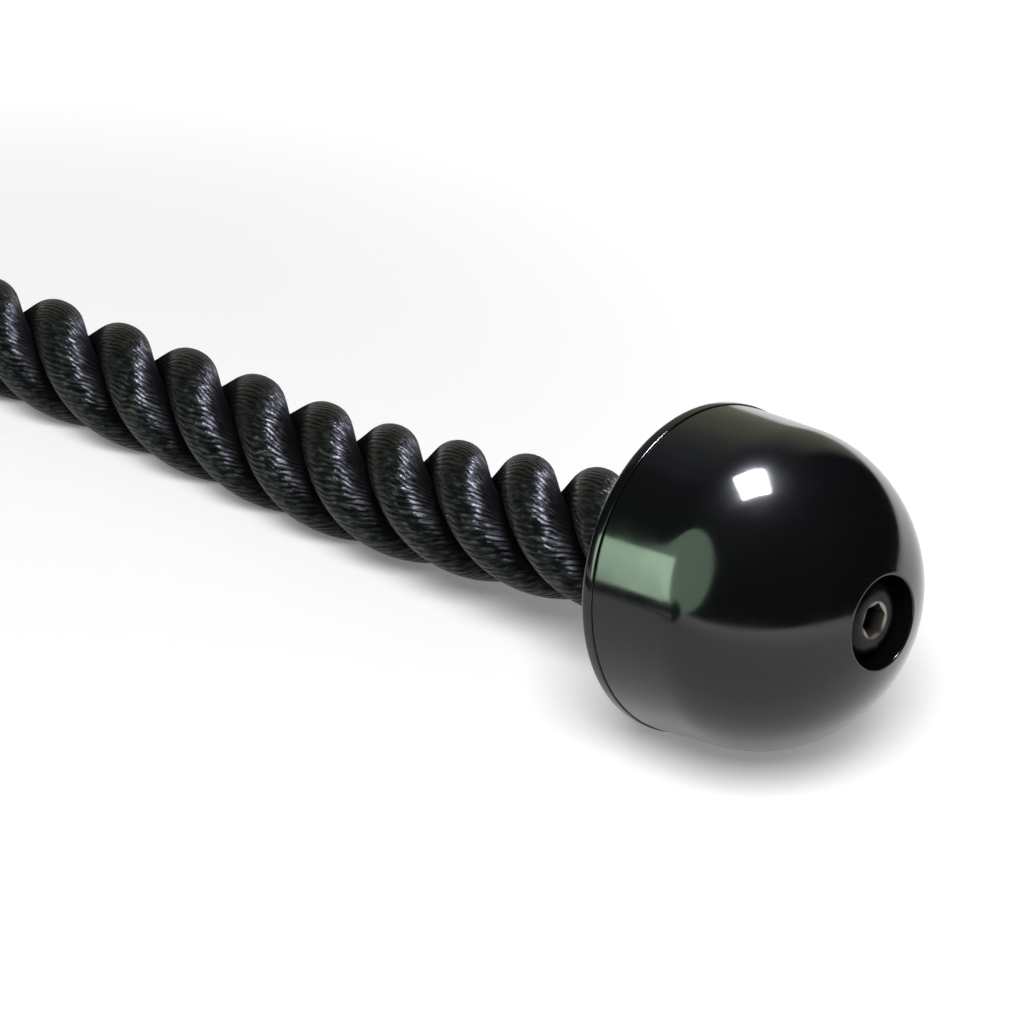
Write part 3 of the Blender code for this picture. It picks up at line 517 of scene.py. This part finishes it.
# The strands run on through the saddle and turn by this angle there. The left leg looks at them from
# the other way round, so what is an angle a there is half a turn less a here.
saddleLength = 2 * saddle["straight"] + 2 * math.radians(90 - saddle["mouthAngle"]) * saddle["bendRadius"]
saddleTurn = math.tau * saddleLength / rope["lay"]
mouthTurn = {}
for word, side in sides.items():
    centre, _, _, axis = ballFrameAt(side)
    stops = [centre + share * rope["intoBall"] * axis for share in (0.5, 1.0)]
    line = smoothPath(np.concatenate([legPoints(side), stops]), rope["step"])
    reach = travelled(line)
    freeLength = travelled(smoothPath(legPoints(side), rope["step"]))[-1]
    span = np.maximum(freeLength - reach, 0)
    turn = legTurn(span) - math.tau * np.maximum(reach - freeLength, 0) / rope["lay"]
    if word == "left":
        turn = turn - turn[0] - math.pi - saddleTurn - mouthTurn["right"]
    mouthTurn[word] = turn[0]
    fromEnds = np.clip(np.minimum(reach, span) / rope["squeezedOver"], 0, 1)
    diameter = rope["inBores"] + (rope["diameter"] - rope["inBores"]) * fromEnds**2 * (3 - 2 * fromEnds)
    grid = ropeGrid(line, turn, diameter, smoothing=9)
    name = f"rope{word.title()}"
    mesh = meshFromGrid(name, grid, cornerMap=yarnMap(reach, turn))
    markStrands(mesh, grid.shape[1])
    piece = place(mesh, None, ropeFinish)
    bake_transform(piece)
    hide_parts(f"rope_flex_{word}", f"rope_leg_{word}")
    print(f"{name}:", len(mesh.polygons), "faces,", round(float(freeLength), 4), "m outside the ball")


# The ball ends

ball = {
    "radius": 0.035,
    "skirtTop": 0.03365,  # radius
    "skirt": 0.0182,
    "crown": 0.0316,  # from the skirt to where an unbroken crown would close
    "crownPower": 1.89,
    "wall": 0.0038,
    "footEdge": 0.00022,
    "foot": 0.00342,
    "counterbore": 0.0094,  # radius
    "rimRound": 0.0003,
    "rimTop": 0.04814,
    "washerSeat": 0.03844,
    "seatEdge": 0.0003,
    "boltHole": 0.0053,
    "boss": 0.0126,
    "bossEnd": 0.03284,
    "ribs": 6,
    "ribThickness": 0.0020,
    "ribSunk": 0.0015,  # into the crown
    "ribStep": 0.001,  # over the boss's end, and into the boss
    "softened": 0.0080,  # length over which the skirt runs into the crown
    "steps": 256,
}
base = {
    "thickness": 0.00336,
    "edge": 0.0015,
    "hole": 0.0153,
    "holeChamfer": 0.0012,
    "collar": 0.0060,
    "collarWall": 0.0030,
    "collarEdge": 0.0003,
    "spigot": 0.0060,
    "spigotWall": 0.0022,
    "spigotGap": 0.0003,
    "spigotEdge": 0.0004,
    "bead": 0.0005,
    "beadWidth": 0.0020,
    "beadUp": 0.0032,
}
bolt = {
    "head": 0.00875,
    "shank": 0.005,
    "headTop": 0.04614,
    "headSeat": 0.04064,
    "edge": 0.0006,
    "underEdge": 0.0002,  # under the head
    "flat": 0.0044,
    "tip": 0.02064,
    "tipChamfer": 0.0010,
    "socketFlats": 0.006,
    "socketDeep": 0.0036,
    "socketChamfer": 0.00015,
    "socketBottom": 0.0002,  # its edge
    "wornWide": 0.00028,  # the ring that the key has worn
    "wornDrop": 0.0001,
    "hexagonFrom": 0.0003,  # below the head's top
    "thread": 0.0015,
    "threadDeep": 0.00045,
    "threadStop": 0.003,  # below the head
    "steps": 96,
}
washer = {"outer": 0.0090, "inner": 0.0053, "low": 0.03874, "high": 0.04034, "round": 0.0002, "steps": 96}


# The crown is a superellipse over the skirt, up to where its radius is stop:
#   (radius / foot) ** crownPower + (height over the skirt / tall) ** crownPower = 1
def crownProfile(foot, tall, stop, steps):
    share = 2 / ball["crownPower"]
    a = np.linspace(0, math.acos((stop / foot) ** (1 / share)), steps)
    return np.stack([foot * np.cos(a) ** share, ball["skirt"] + tall * np.sin(a) ** share], axis=1)


# The profile is read again every 0.2 mm and each point moves to the weighted mean of those around it,
# which turns the slight corner between skirt and crown into a gentle one.
def softened(profile, length, step=0.0002):
    reach = travelled(profile)
    wanted = np.linspace(0, reach[-1], int(reach[-1] / step))
    even = np.stack([np.interp(wanted, reach, profile[:, k]) for k in range(2)], axis=1)
    half = int(length / step) // 2
    before = 2 * even[0] - even[half:0:-1]
    after = 2 * even[-1] - even[-2:-half - 2:-1]
    wide = np.concatenate([before, even, after])
    kernel = np.hanning(2 * half + 3)[1:-1]
    kernel /= kernel.sum()
    return np.stack([np.convolve(wide[:, k], kernel, "valid") for k in range(2)], axis=1)


def domeProfile():
    slope = (ball["radius"] - ball["skirtTop"]) / ball["skirt"]
    edge, foot, rim = ball["footEdge"], ball["foot"], ball["rimRound"]
    footRadius = ball["radius"] - slope * foot
    bore, seat, seatEdge = ball["counterbore"], ball["washerSeat"], ball["seatEdge"]
    cavity = ball["skirtTop"] - ball["wall"]
    crown = crownProfile(ball["skirtTop"], ball["crown"], bore + rim + 0.7 * rim, 60)
    # never beyond the skirt's line
    crown[:, 0] = np.minimum(crown[:, 0], ball["radius"] - slope * crown[:, 1])
    outside = np.concatenate([[[footRadius - edge * slope, foot + edge]], crown])
    bead = base["thickness"] + base["beadUp"]
    half = base["beadWidth"] / 2
    return np.concatenate([
        corner((footRadius - edge, foot + edge), edge, -90, 0, 4)[:-1],
        softened(outside, ball["softened"])[::2],
        corner((bore + rim, ball["rimTop"] - rim), rim, 72, 180, 8),
        [[bore, seat + seatEdge], [bore - seatEdge, seat]],
        [[ball["boltHole"], seat], [ball["boltHole"], ball["bossEnd"]], [ball["boss"], ball["bossEnd"]]],
        crownProfile(cavity, ball["crown"] - ball["wall"], ball["boss"], 24)[::-1],
        [[cavity, bead + half], [cavity + base["bead"], bead], [cavity, bead - half], [cavity, foot]],
    ])


def baseProfile():
    radius, thick, edge = ball["radius"], base["thickness"], base["edge"]
    spigot = ball["skirtTop"] - ball["wall"] - base["spigotGap"]
    bead = thick + base["beadUp"]
    half = base["beadWidth"] / 2
    inside = spigot - base["spigotWall"]
    collar = base["hole"] + base["collarWall"]
    footEdge, spigotEdge, collarEdge = ball["footEdge"], base["spigotEdge"], base["collarEdge"]
    hole, chamfer = base["hole"], base["holeChamfer"]
    return np.concatenate([
        corner((radius - edge, edge), edge, -90, 0, 14),
        corner((radius - footEdge, thick - footEdge), footEdge, 0, 90, 4),
        [[spigot, thick], [spigot, bead - half], [spigot + base["bead"], bead], [spigot, bead + half]],
        corner((spigot - spigotEdge, thick + base["spigot"] - spigotEdge), spigotEdge, 0, 90, 4),
        [[inside, thick + base["spigot"]], [inside, thick], [collar, thick]],
        corner((collar - collarEdge, base["collar"] - collarEdge), collarEdge, 0, 90, 3),
        [[hole, base["collar"]], [hole, chamfer]],
        [[hole + 0.35 * chamfer, 0.35 * chamfer], [hole + chamfer, 0]],  # a hollow chamfer
    ])


# Thin plates from the boss to the crown, one every sixth of a turn. Each is a box whose outer edge
# follows the inside of the crown: corner = centre + height * axis + radius * out + thickness * beside
def ribMesh(name, frameAt):
    centre, across, beside, axis = frameAt
    foot = ball["skirtTop"] - ball["wall"] + ball["ribSunk"]
    tall = ball["crown"] - ball["wall"] + ball["ribSunk"]
    inside = ball["boss"] - ball["ribStep"]
    low = ball["bossEnd"] + ball["ribStep"]
    edge = crownProfile(foot, tall, inside, 14)
    edge = edge[edge[:, 1] > low]
    radius = np.concatenate([[edge[0, 0]], edge[:, 0], [inside]])
    height = np.concatenate([[low], edge[:, 1], [low]])
    halfThick = ball["ribThickness"] / 2 * np.array([-1.0, 1.0])
    turn = np.arange(ball["ribs"]) * math.tau / ball["ribs"]
    out = around(turn, across, beside)
    side = np.cross(axis, out)
    points = centre + height[None, None, :, None] * axis + radius[None, None, :, None] * out[:, None, None]
    points = points + halfThick[None, :, None, None] * side[:, None, None]
    count = len(radius)
    first = (np.arange(ball["ribs"]) * 2 * count)[:, None]
    ring = np.arange(count)
    after = np.roll(ring, -1)
    walls = np.stack([ring, after, after + count, ring + count], axis=-1)[None] + first[..., None]
    faces = walls.reshape(-1, 4).tolist()
    faces += (first + ring[::-1]).tolist() + (first + count + ring).tolist()
    mesh = bpy.data.meshes.new(name)
    mesh.from_pydata(points.reshape(-1, 3).tolist(), [], faces)
    return mesh


# The bolt is turned, with a six-sided socket: the radius slides from a circle to the hexagon
#   flats / 2 / cos(angle from the middle of a flat)
# over the socket's chamfer. Its thread is a ridge that climbs one pitch for each turn.
def boltGrid(frameAt):
    centre, across, beside, axis = frameAt
    top, seat, shank = bolt["headTop"], bolt["headSeat"], bolt["shank"]
    head, flat, under = bolt["head"], bolt["flat"], bolt["underEdge"]
    hexagon = bolt["socketFlats"] / 2
    mouth = hexagon / math.cos(math.pi / 6) + bolt["socketChamfer"]
    bottom, bottomEdge = top - bolt["socketDeep"], bolt["socketBottom"]
    rise = top - seat - bolt["edge"]
    button = np.linspace(math.pi / 2, 0, 22)
    threadTop = seat - bolt["threadStop"]
    threaded = np.arange(bolt["tip"] + bolt["tipChamfer"], threadTop, bolt["thread"] / 8)
    # each row is (radius, height, share of hexagon, share of thread)
    rows = np.concatenate([
        [[shank - bolt["tipChamfer"], bolt["tip"], 0, 0]],
        np.stack([np.full(len(threaded), shank), threaded, 0 * threaded, 1 + 0 * threaded], axis=1),
        [[shank, threadTop, 0, 0], [shank, seat, 0, 0]],
        [[head - under, seat, 0, 0], [head, seat + under, 0, 0]],
        np.stack([
            flat + (head - flat) * np.sin(button), seat + bolt["edge"] + rise * np.cos(button),
            0 * button, 0 * button], axis=1),
        [[mouth + bolt["wornWide"], top, 0, 0], [mouth, top - bolt["wornDrop"], 0, 0]],
        [[hexagon, top - bolt["hexagonFrom"], 1, 0], [hexagon, bottom + bottomEdge, 1, 0]],
        [[hexagon - bottomEdge, bottom, 1, 0]],
    ])
    t = wholeTurn(bolt["steps"])
    sixth = math.pi / 3
    flatShape = 1 / np.cos((t + sixth / 2) % sixth - sixth / 2)
    radius, height, six, thread = rows.T[:, :, None]
    ridge = np.abs(((height / bolt["thread"] - t / math.tau) % 1) - 0.5) * 2
    radius = radius * (1 + six * (flatShape - 1)) - thread * ridge * bolt["threadDeep"]
    return centre + height[..., None] * axis + radius[..., None] * around(t, across, beside)


# 1 on the ring round the socket's mouth, which is painted pale grey as its highlight
def paintSocketHighlightRing(mesh):
    rows = (len(mesh.vertices) - 2) // bolt["steps"]
    paintedRing = np.zeros(len(mesh.vertices), np.float32)
    paintedRing[(rows - 4) * bolt["steps"]:(rows - 2) * bolt["steps"]] = 1.0
    mesh.attributes.new("paintedSocketRing", "FLOAT", "POINT").data.foreach_set("value", paintedRing)


def washerProfile():
    soft, outer, inner = washer["round"], washer["outer"], washer["inner"]
    return np.concatenate([
        corner((outer - soft, washer["low"] + soft), soft, -90, 0, 3),
        corner((outer - soft, washer["high"] - soft), soft, 0, 90, 3),
        [[inner, washer["high"]], [inner, washer["low"]]],
    ])


for word, side in sides.items():
    frameAt = ballFrameAt(side)
    leg, name = f"leg_{word}", word.title()
    grid = turnedGrid(domeProfile(), frameAt, ball["steps"])
    dome = meshFromGrid(f"ballDome{name}", grid, ringShaped=True)
    place(dome, leg, plasticFinish, [f"ball_dome_{word}"])
    place(ribMesh(f"domeRibs{name}", frameAt), leg, plasticFinish)
    grid = turnedGrid(baseProfile(), frameAt, ball["steps"])
    flange = meshFromGrid(f"ballBase{name}", grid, ringShaped=True)
    place(flange, leg, plasticFinish, [f"ball_base_{word}"])
    screw = meshFromGrid(f"ballBolt{name}", boltGrid(frameAt))
    paintSocketHighlightRing(screw)
    place(screw, leg, boltFinish, [f"ball_bolt_{word}"])
    grid = turnedGrid(washerProfile(), frameAt, washer["steps"])
    disc = meshFromGrid(f"headWasher{name}", grid, ringShaped=True)
    place(disc, leg, platedFinish, [f"head_washer_{word}"])
    for node in ("end_ferrule", "weld_nut"):
        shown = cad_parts[f"{node}_{word}"]
        shown.data.materials.clear()
        shown.data.materials.append(ferruleFinish)
print("ball ends made")


# The centre fitting

lug = {
    "thickness": 0.008,
    "hole": 0.007,
    "reach": 0.015,
    "eyeWall": 0.006,
    "rootHeight": 0.030,
    "edge": 0.0009,
    "sunk": 0.0005,  # into the tube, under the weld
    "steps": 240,
}
weld = {
    "radius": 0.0017,
    "fromFace": 0.0004,  # beyond the lug's faces
    "halfHeight": 0.0146,
    "cornerRound": 0.0016,
    "ripple": 0.0011,
    "rippleDeep": 0.12,  # share of the radius
    "rippleLag": 1.2,  # makes each ripple a crescent
    "uneven": 0.05,  # share of the radius
    "unevenHalves": 9,  # half waves round the loop
    "steps": 720,
    "sides": 20,
}
pullRing = {
    "bar": 0.004,
    "middle": 0.023,  # radius to the middle of the bar
    "droop": 15.187,  # degrees
    "axisZ": 0.01615,
    "seamAt": 1.1,  # radians from the ring's far side
    "seamWide": 0.0035,
    "seamHigh": 0.00022,
    "grooveWide": 0.0006,
    "grooveDeep": 0.00012,
    "steps": 240,
    "sides": 40,
}
rivet = {
    "setback": 0.0085,
    "head": 0.00575,
    "height": 0.0024,
    "shank": 0.003,
    "seat": 0.0188,
    "sunk": 0.0001,  # the foot, into the tube
    "firstAngle": 0.02,  # inside it a fan closes the head
    "headRows": 14,
    "sides": 64,
}

bendCentre = np.array([0.0, saddle["centreY"], saddle["height"]])
lugCentre = bendCentre + np.array([0.0, saddle["bendRadius"] + saddle["radius"] + lug["reach"], 0.0])


# The saddle's centreline, by distance from its left mouth: straight, round the bend, straight.
def saddleLine(distance):
    sweep = math.radians(90 - saddle["mouthAngle"])
    bend = 2 * sweep * saddle["bendRadius"]
    past = distance - saddle["straight"]
    turned = np.clip(past, 0, bend) / saddle["bendRadius"] - sweep
    outward = np.stack([np.sin(turned), np.cos(turned), 0 * turned], axis=-1)
    along = np.stack([np.cos(turned), -np.sin(turned), 0 * turned], axis=-1)
    straightOn = np.minimum(past, 0) + np.maximum(past - bend, 0)
    return bendCentre + saddle["bendRadius"] * outward + straightOn[:, None] * along, outward


# A closed loop of (distance, radius) goes round the saddle's centreline: outside, mouth, bore, mouth.
def saddleGrid():
    end, edge, lip = saddleLength, saddle["edge"], saddle["lipEdge"]
    outer, bore, flared = saddle["radius"], saddle["bore"], saddle["bore"] + saddle["flare"]
    outside = np.linspace(edge, end - edge, saddle["outsideRows"])[1:-1]
    inside = np.linspace(end - saddle["flareLength"], saddle["flareLength"], saddle["insideRows"])
    rightMouth = np.concatenate([
        corner((end - edge, outer - edge), edge, 90, 0, 6),
        corner((end - lip, flared + lip), lip, 0, -60, 3),
    ])
    leftMouth = rightMouth[::-1] * [-1, 1] + [end, 0]
    loop = np.concatenate([
        np.stack([outside, np.full(len(outside), outer)], axis=1), rightMouth,
        np.stack([inside, np.full(len(inside), bore)], axis=1), leftMouth,
    ])
    middle, outward = saddleLine(loop[:, 0])
    t = wholeTurn(saddle["sides"])
    return middle[:, None] + loop[:, 1, None, None] * around(t, outward[:, None], zAxis)


# In the lug's plane, round the hole's centre, the outline is at
#   the eye's radius, out to where the straight flank leaves it,
#   eye / cos(angle past that point), along the flank,
#   and never beyond the circle of the tube, which the root follows.
def lugOutline(angle):
    eye = lug["hole"] + lug["eyeWall"]
    far = saddle["radius"] + lug["reach"]
    root = math.hypot(far, lug["rootHeight"] / 2)
    leave = math.pi - math.atan2(lug["rootHeight"] / 2, far) - math.acos(eye / root)
    past = np.clip(np.abs(angle) - leave, 0, 1.5)  # the flank would be endless at a quarter turn
    flank = eye / np.cos(past)
    seat = saddle["radius"] - lug["sunk"]
    lean = math.pi - np.abs(angle)
    inside = seat**2 - (far * np.sin(lean)) ** 2
    towardsTube = (inside > 0) & (lean < 1.2)  # and not straight away from it
    tube = far * np.cos(lean) - np.sqrt(np.maximum(inside, 0))
    return np.where(towardsTube, np.minimum(flank, tube), flank)


# A closed loop across the plate, from the hole's wall over one face to the outline and back, goes
# round the hole: point = hole's centre + (thick, reach * cos t, reach * sin t)
def lugGrid():
    t = np.linspace(-math.pi, math.pi, lug["steps"], endpoint=False)
    half, edge = lug["thickness"] / 2, lug["edge"]
    inner = corner((edge, half - edge), edge, 180, 90, 4)
    outer = corner((-edge, half - edge), edge, 90, 0, 4)
    inner, outer = np.insert(inner, 0, 0, axis=1), np.insert(outer, 0, 1, axis=1)
    # each row is (share of the way out, offset, thick)
    top = np.concatenate([inner, [[0.33, 0, half], [0.66, 0, half]], outer])
    loop = np.concatenate([top, top[::-1] * [1, 1, -1]])
    share, offset, thick = loop.T[:, :, None]
    reach = lug["hole"] + offset + share * (lugOutline(t)[None, :] - lug["hole"])
    return lugCentre + np.stack([thick + 0 * reach, reach * np.cos(t), reach * np.sin(t)], axis=-1)


# The bead runs round the lug's root on the tube's surface, which at (x, z) is
#   (bend radius + sqrt(tube radius ** 2 - z ** 2)) from the bend's axis,
# and its own radius rises and falls once for each ripple of the welder's hand.
def weldGrid():
    halfX, halfZ, soft = lug["thickness"] / 2 + weld["fromFace"], weld["halfHeight"], weld["cornerRound"]
    corners = [corner((x * (halfX - soft), z * (halfZ - soft)), soft, a, a + 90, 8)
               for x, z, a in ((1, 1, 0), (-1, 1, 90), (-1, -1, 180), (1, -1, 270))]
    loop = np.concatenate([*corners, corners[0][:1]])
    reach = travelled(loop)
    wanted = np.linspace(0, reach[-1], weld["steps"], endpoint=False)
    x, z = (np.interp(wanted, reach, loop[:, k]) for k in range(2))
    lift = np.sqrt(saddle["radius"] ** 2 - z**2)
    fromAxis = saddle["bendRadius"] + lift
    y = np.sqrt(fromAxis**2 - x**2)
    path = bendCentre + np.stack([x, y, z], axis=1)
    normal = unit(np.stack([x * lift / fromAxis, y * lift / fromAxis, z], axis=1))
    along = unit(np.roll(path, -1, axis=0) - np.roll(path, 1, axis=0))
    beside = np.cross(along, normal)
    ripples = round(reach[-1] / weld["ripple"])
    halfTurn = math.pi * wanted[:, None] / reach[-1]
    t = wholeTurn(weld["sides"])
    wave = np.abs(np.sin(ripples * halfTurn + weld["rippleLag"] * np.cos(t)))
    uneven = weld["uneven"] * np.sin(weld["unevenHalves"] * halfTurn)
    radius = weld["radius"] * (1 - weld["rippleDeep"] * (1 - wave) + uneven)
    return path[:, None] + radius[..., None] * around(t, normal[:, None], beside[:, None])


# A bar bent into a circle and butt-welded: point = circle + bar radius * (cos t, sin t). At its seam
# the bar swells by seamHigh * exp(-(distance from the seam / seamWide) ** 2), most on the outside, and
# a fine groove of the same form runs round it there.
def ringGrid():
    droop = math.radians(pullRing["droop"])
    away = np.array([0.0, math.cos(droop), -math.sin(droop)])
    beside = np.array([1.0, 0.0, 0.0])
    normal = np.cross(beside, away)
    centre = np.array([0.0, lugCentre[1], pullRing["axisZ"]]) + pullRing["middle"] * away
    a = wholeTurn(pullRing["steps"]).T
    t = wholeTurn(pullRing["sides"])
    out = around(a, away, beside)
    distance = (a - pullRing["seamAt"]) * pullRing["middle"]
    swell = pullRing["seamHigh"] * np.exp(-(distance / pullRing["seamWide"]) ** 2)
    groove = pullRing["grooveDeep"] * np.exp(-(distance / pullRing["grooveWide"]) ** 2)
    radius = pullRing["bar"] + swell * (0.6 + 0.4 * np.cos(t)) - groove
    return centre + pullRing["middle"] * out + radius[..., None] * around(t, out, normal)


# A rivet head rises as a quarter ellipse to its middle and sits on the round of the tube: its foot
# drops with the tube's surface, to sqrt(tube radius ** 2 - (distance across the tube) ** 2) - sunk
def rivetGrid(side):
    mouth, out, inward = mouthAt(side)
    centre = mouth - rivet["setback"] * out
    t = wholeTurn(rivet["sides"])
    a = np.linspace(rivet["firstAngle"], math.pi / 2, rivet["headRows"])
    radius = np.concatenate([rivet["head"] * np.sin(a), [rivet["head"], rivet["shank"]]])[:, None]
    head = rivet["seat"] + rivet["height"] * np.cos(a)[:, None] + 0 * t
    foot = np.sqrt(saddle["radius"] ** 2 - (radius[len(a):] * np.cos(t)) ** 2) - rivet["sunk"]
    rise = np.concatenate([head, foot])[..., None] * inward
    across = radius[..., None] * around(t, zAxis, out)
    return np.concatenate([centre + rise + across, (centre - rise + across)[::-1]])


fitting = {
    "saddleTube": (saddleGrid(), "centre_fitting", ["saddle_tube"]),
    "lugPlate": (lugGrid(), "centre_fitting", ["lug_plate"]),
    "lugWeld": (weldGrid(), "centre_fitting", []),
    "pullRing": (ringGrid(), "ring", ["attachment_ring"]),
}
for name, (grid, body, replaced) in fitting.items():
    place(meshFromGrid(name, grid, ringShaped=True), body, platedFinish, replaced)
for word, side in sides.items():
    mesh = meshFromGrid(f"ropeRivet{word.title()}", rivetGrid(side))
    place(mesh, "centre_fitting", platedFinish, [f"rope_rivet_{word}"])

# The rope goes on through the saddle, with the right leg's turn at the right mouth.
distance = np.linspace(0, saddleLength, rope["saddleRows"])
middle, _ = saddleLine(distance)
turn = mouthTurn["right"] + math.tau * (saddleLength - distance) / rope["lay"]
diameter = np.full(len(distance), rope["inBores"])
grid = ropeGrid(middle, turn, diameter, smoothing=1)
mesh = meshFromGrid("ropeInSaddle", grid, cornerMap=yarnMap(distance, turn))
markStrands(mesh, grid.shape[1])
place(mesh, "centre_fitting", ropeFinish, ["rope_bend"])
print("centre fitting made")


# Floor and light

# The lamps light the floor near the object. Farther out, where their light falls off, it glows as
# much as it needs to stay pale, for the eye and for what mirrors it alike: by nearGlow at glowFrom
# and by farGlow at glowTo, measured from the object's middle.
floorLook = {
    "half": 40.0,
    "height": -0.0001,
    "nearGlow": 0.17,
    "farGlow": 0.92,
    "glowFrom": 0.15,
    "glowTo": 0.75,
}
half, low = floorLook["half"], floorLook["height"]
floor = bpy.data.meshes.new("paleFloor")
floor.from_pydata(
    [(-half, -half, low), (half, -half, low), (half, half, low), (-half, half, low)], [], [(0, 1, 2, 3)])
floorPiece = addObject("paleFloor", floor)
floorFinish, tree, shader = newMaterial("paleStudioFloor")
rays = addNode(tree, "LightPath").node.outputs
seen = addNode(tree, "Math", {
    0: rays["Is Glossy Ray"], 1: rays["Is Transmission Ray"]}, operation="MAXIMUM")
seen = addNode(tree, "Math", {0: rays["Is Camera Ray"], 1: seen}, operation="MAXIMUM")
spot = addNode(tree, "TexCoord", output="Object")
away = addNode(tree, "VectorMath", {0: spot}, output="Value", operation="LENGTH")
glow = addNode(tree, "MapRange", {
    "Value": away, "From Min": floorLook["glowFrom"], "From Max": floorLook["glowTo"],
    "To Min": floorLook["nearGlow"], "To Max": floorLook["farGlow"]}, interpolation_type="SMOOTHSTEP")
glow = addNode(tree, "Math", {0: glow, 1: seen}, operation="MULTIPLY")
setInputs(tree, shader, {
    "Base Color": linearColour("#f0f0f0"), "Roughness": 0.9, "Specular IOR Level": 0.0,
    "Emission Color": (1.0, 1.0, 1.0, 1.0), "Emission Strength": glow})
floor.materials.append(floorFinish)

# Lamps by the way they lie from the ball, as degrees to the left of +Y and up, because the ball
# mirrors them. Watts = brightness * pi * area. The front panel gives all the soft light and isn't
# mirrored, and the others are only there to be mirrored.
ballAt = np.array([0.165, -0.22, 0.04])
lamps = [
    {"name": "frontPanel", "shape": "RECTANGLE", "left": 142.0, "up": 56.0, "away": 2.4,
     "size": (1.4, 1.4), "turn": 0.0, "brightness": 11.2, "colour": "#ffffff", "mirrored": False},
    {"name": "topSoftbox", "shape": "RECTANGLE", "left": -9.0, "up": 79.2, "away": 1.0,
     "size": (0.30, 0.355), "turn": -10.0, "brightness": 200.0, "colour": "#eef1ff", "mirrored": True},
    {"name": "leftWindow", "shape": "ELLIPSE", "left": 86.5, "up": 23.5, "away": 1.60,
     "size": (1.26, 1.54), "turn": 23.0, "brightness": 2.9, "colour": "#dbffdf", "mirrored": True},
    {"name": "brightPane", "shape": "RECTANGLE", "left": 70.5, "up": 11.0, "away": 1.59,
     "size": (0.36, 0.70), "turn": 22.0, "brightness": 8.8, "colour": "#dbffdf", "mirrored": True},
]
for lamp in lamps:
    left, up = math.radians(lamp["left"]), math.radians(lamp["up"])
    way = np.array([-math.sin(left) * math.cos(up), math.cos(left) * math.cos(up), math.sin(up)])
    light = bpy.data.lights.new(lamp["name"], "AREA")
    light.shape = lamp["shape"]
    light.size, light.size_y = lamp["size"]
    area = light.size * light.size_y * (math.pi / 4 if light.shape == "ELLIPSE" else 1)
    light.energy = lamp["brightness"] * math.pi * area
    light.color = linearColour(lamp["colour"])[:3]
    holder = addObject(lamp["name"], light)
    facing = Vector(tuple(way)).to_track_quat("Z", "Y")
    holder.rotation_euler = (facing @ Quaternion((0, 0, 1), math.radians(lamp["turn"]))).to_euler()
    holder.location = ballAt + lamp["away"] * way
    holder.visible_camera = False
    holder.visible_diffuse = not lamp["mirrored"]
    holder.visible_glossy = lamp["mirrored"]

# A dim room: nearly black, bluish and a little lighter overhead, with a grey wall behind that stands
# from 20 degrees left of +Y to 60 degrees right of it.
room = {
    "lowStrength": 0.014,
    "topStrength": 0.09,
    "wallStrength": 0.46,
    "wallMiddle": (0.342, 0.940, 0.0),  # 20 degrees right of +Y
    "wallSides": (0.72, 0.82),  # cosine of the angle from its middle, where it fades in
    "wallTop": (0.45, 0.85),  # sine of the height, where it fades out
}
world = bpy.data.worlds.new("dimStudio")
bpy.context.scene.world = world
world.use_nodes = True
tree = world.node_tree
way = addNode(tree, "TexCoord", output="Generated")
upward = addNode(tree, "SeparateXYZ", {"Vector": way}, output="Z")
above = addNode(tree, "MapRange", {
    "Value": upward, "From Min": 0.2, "From Max": 1.0,
    "To Min": room["lowStrength"], "To Max": room["topStrength"]})
level = addNode(tree, "VectorMath", {0: way, 1: (1.0, 1.0, 0.0)}, operation="MULTIPLY")
level = addNode(tree, "VectorMath", {0: level}, operation="NORMALIZE")
behind = addNode(tree, "VectorMath", {
    0: level, 1: room["wallMiddle"]}, output="Value", operation="DOT_PRODUCT")
wall = addNode(tree, "MapRange", {
    "Value": behind, "From Min": room["wallSides"][0], "From Max": room["wallSides"][1],
}, interpolation_type="SMOOTHSTEP")
lower = addNode(tree, "MapRange", {
    "Value": upward, "From Min": room["wallTop"][0], "From Max": room["wallTop"][1],
    "To Min": 1.0, "To Max": 0.0}, interpolation_type="SMOOTHSTEP")
wall = addNode(tree, "Math", {0: wall, 1: lower}, operation="MULTIPLY")
strength = addNode(tree, "Math", {0: wall, 1: room["wallStrength"], 2: above}, operation="MULTIPLY_ADD")
tone = addNode(tree, "Mix", {
    0: wall, 6: linearColour("#e0e7ff"), 7: linearColour("#ececd2")}, 2, data_type="RGBA")
setInputs(tree, tree.nodes["Background"], {"Color": tone, "Strength": strength})
print("floor and light made")

bpy.context.scene.view_settings.view_transform = "Standard"
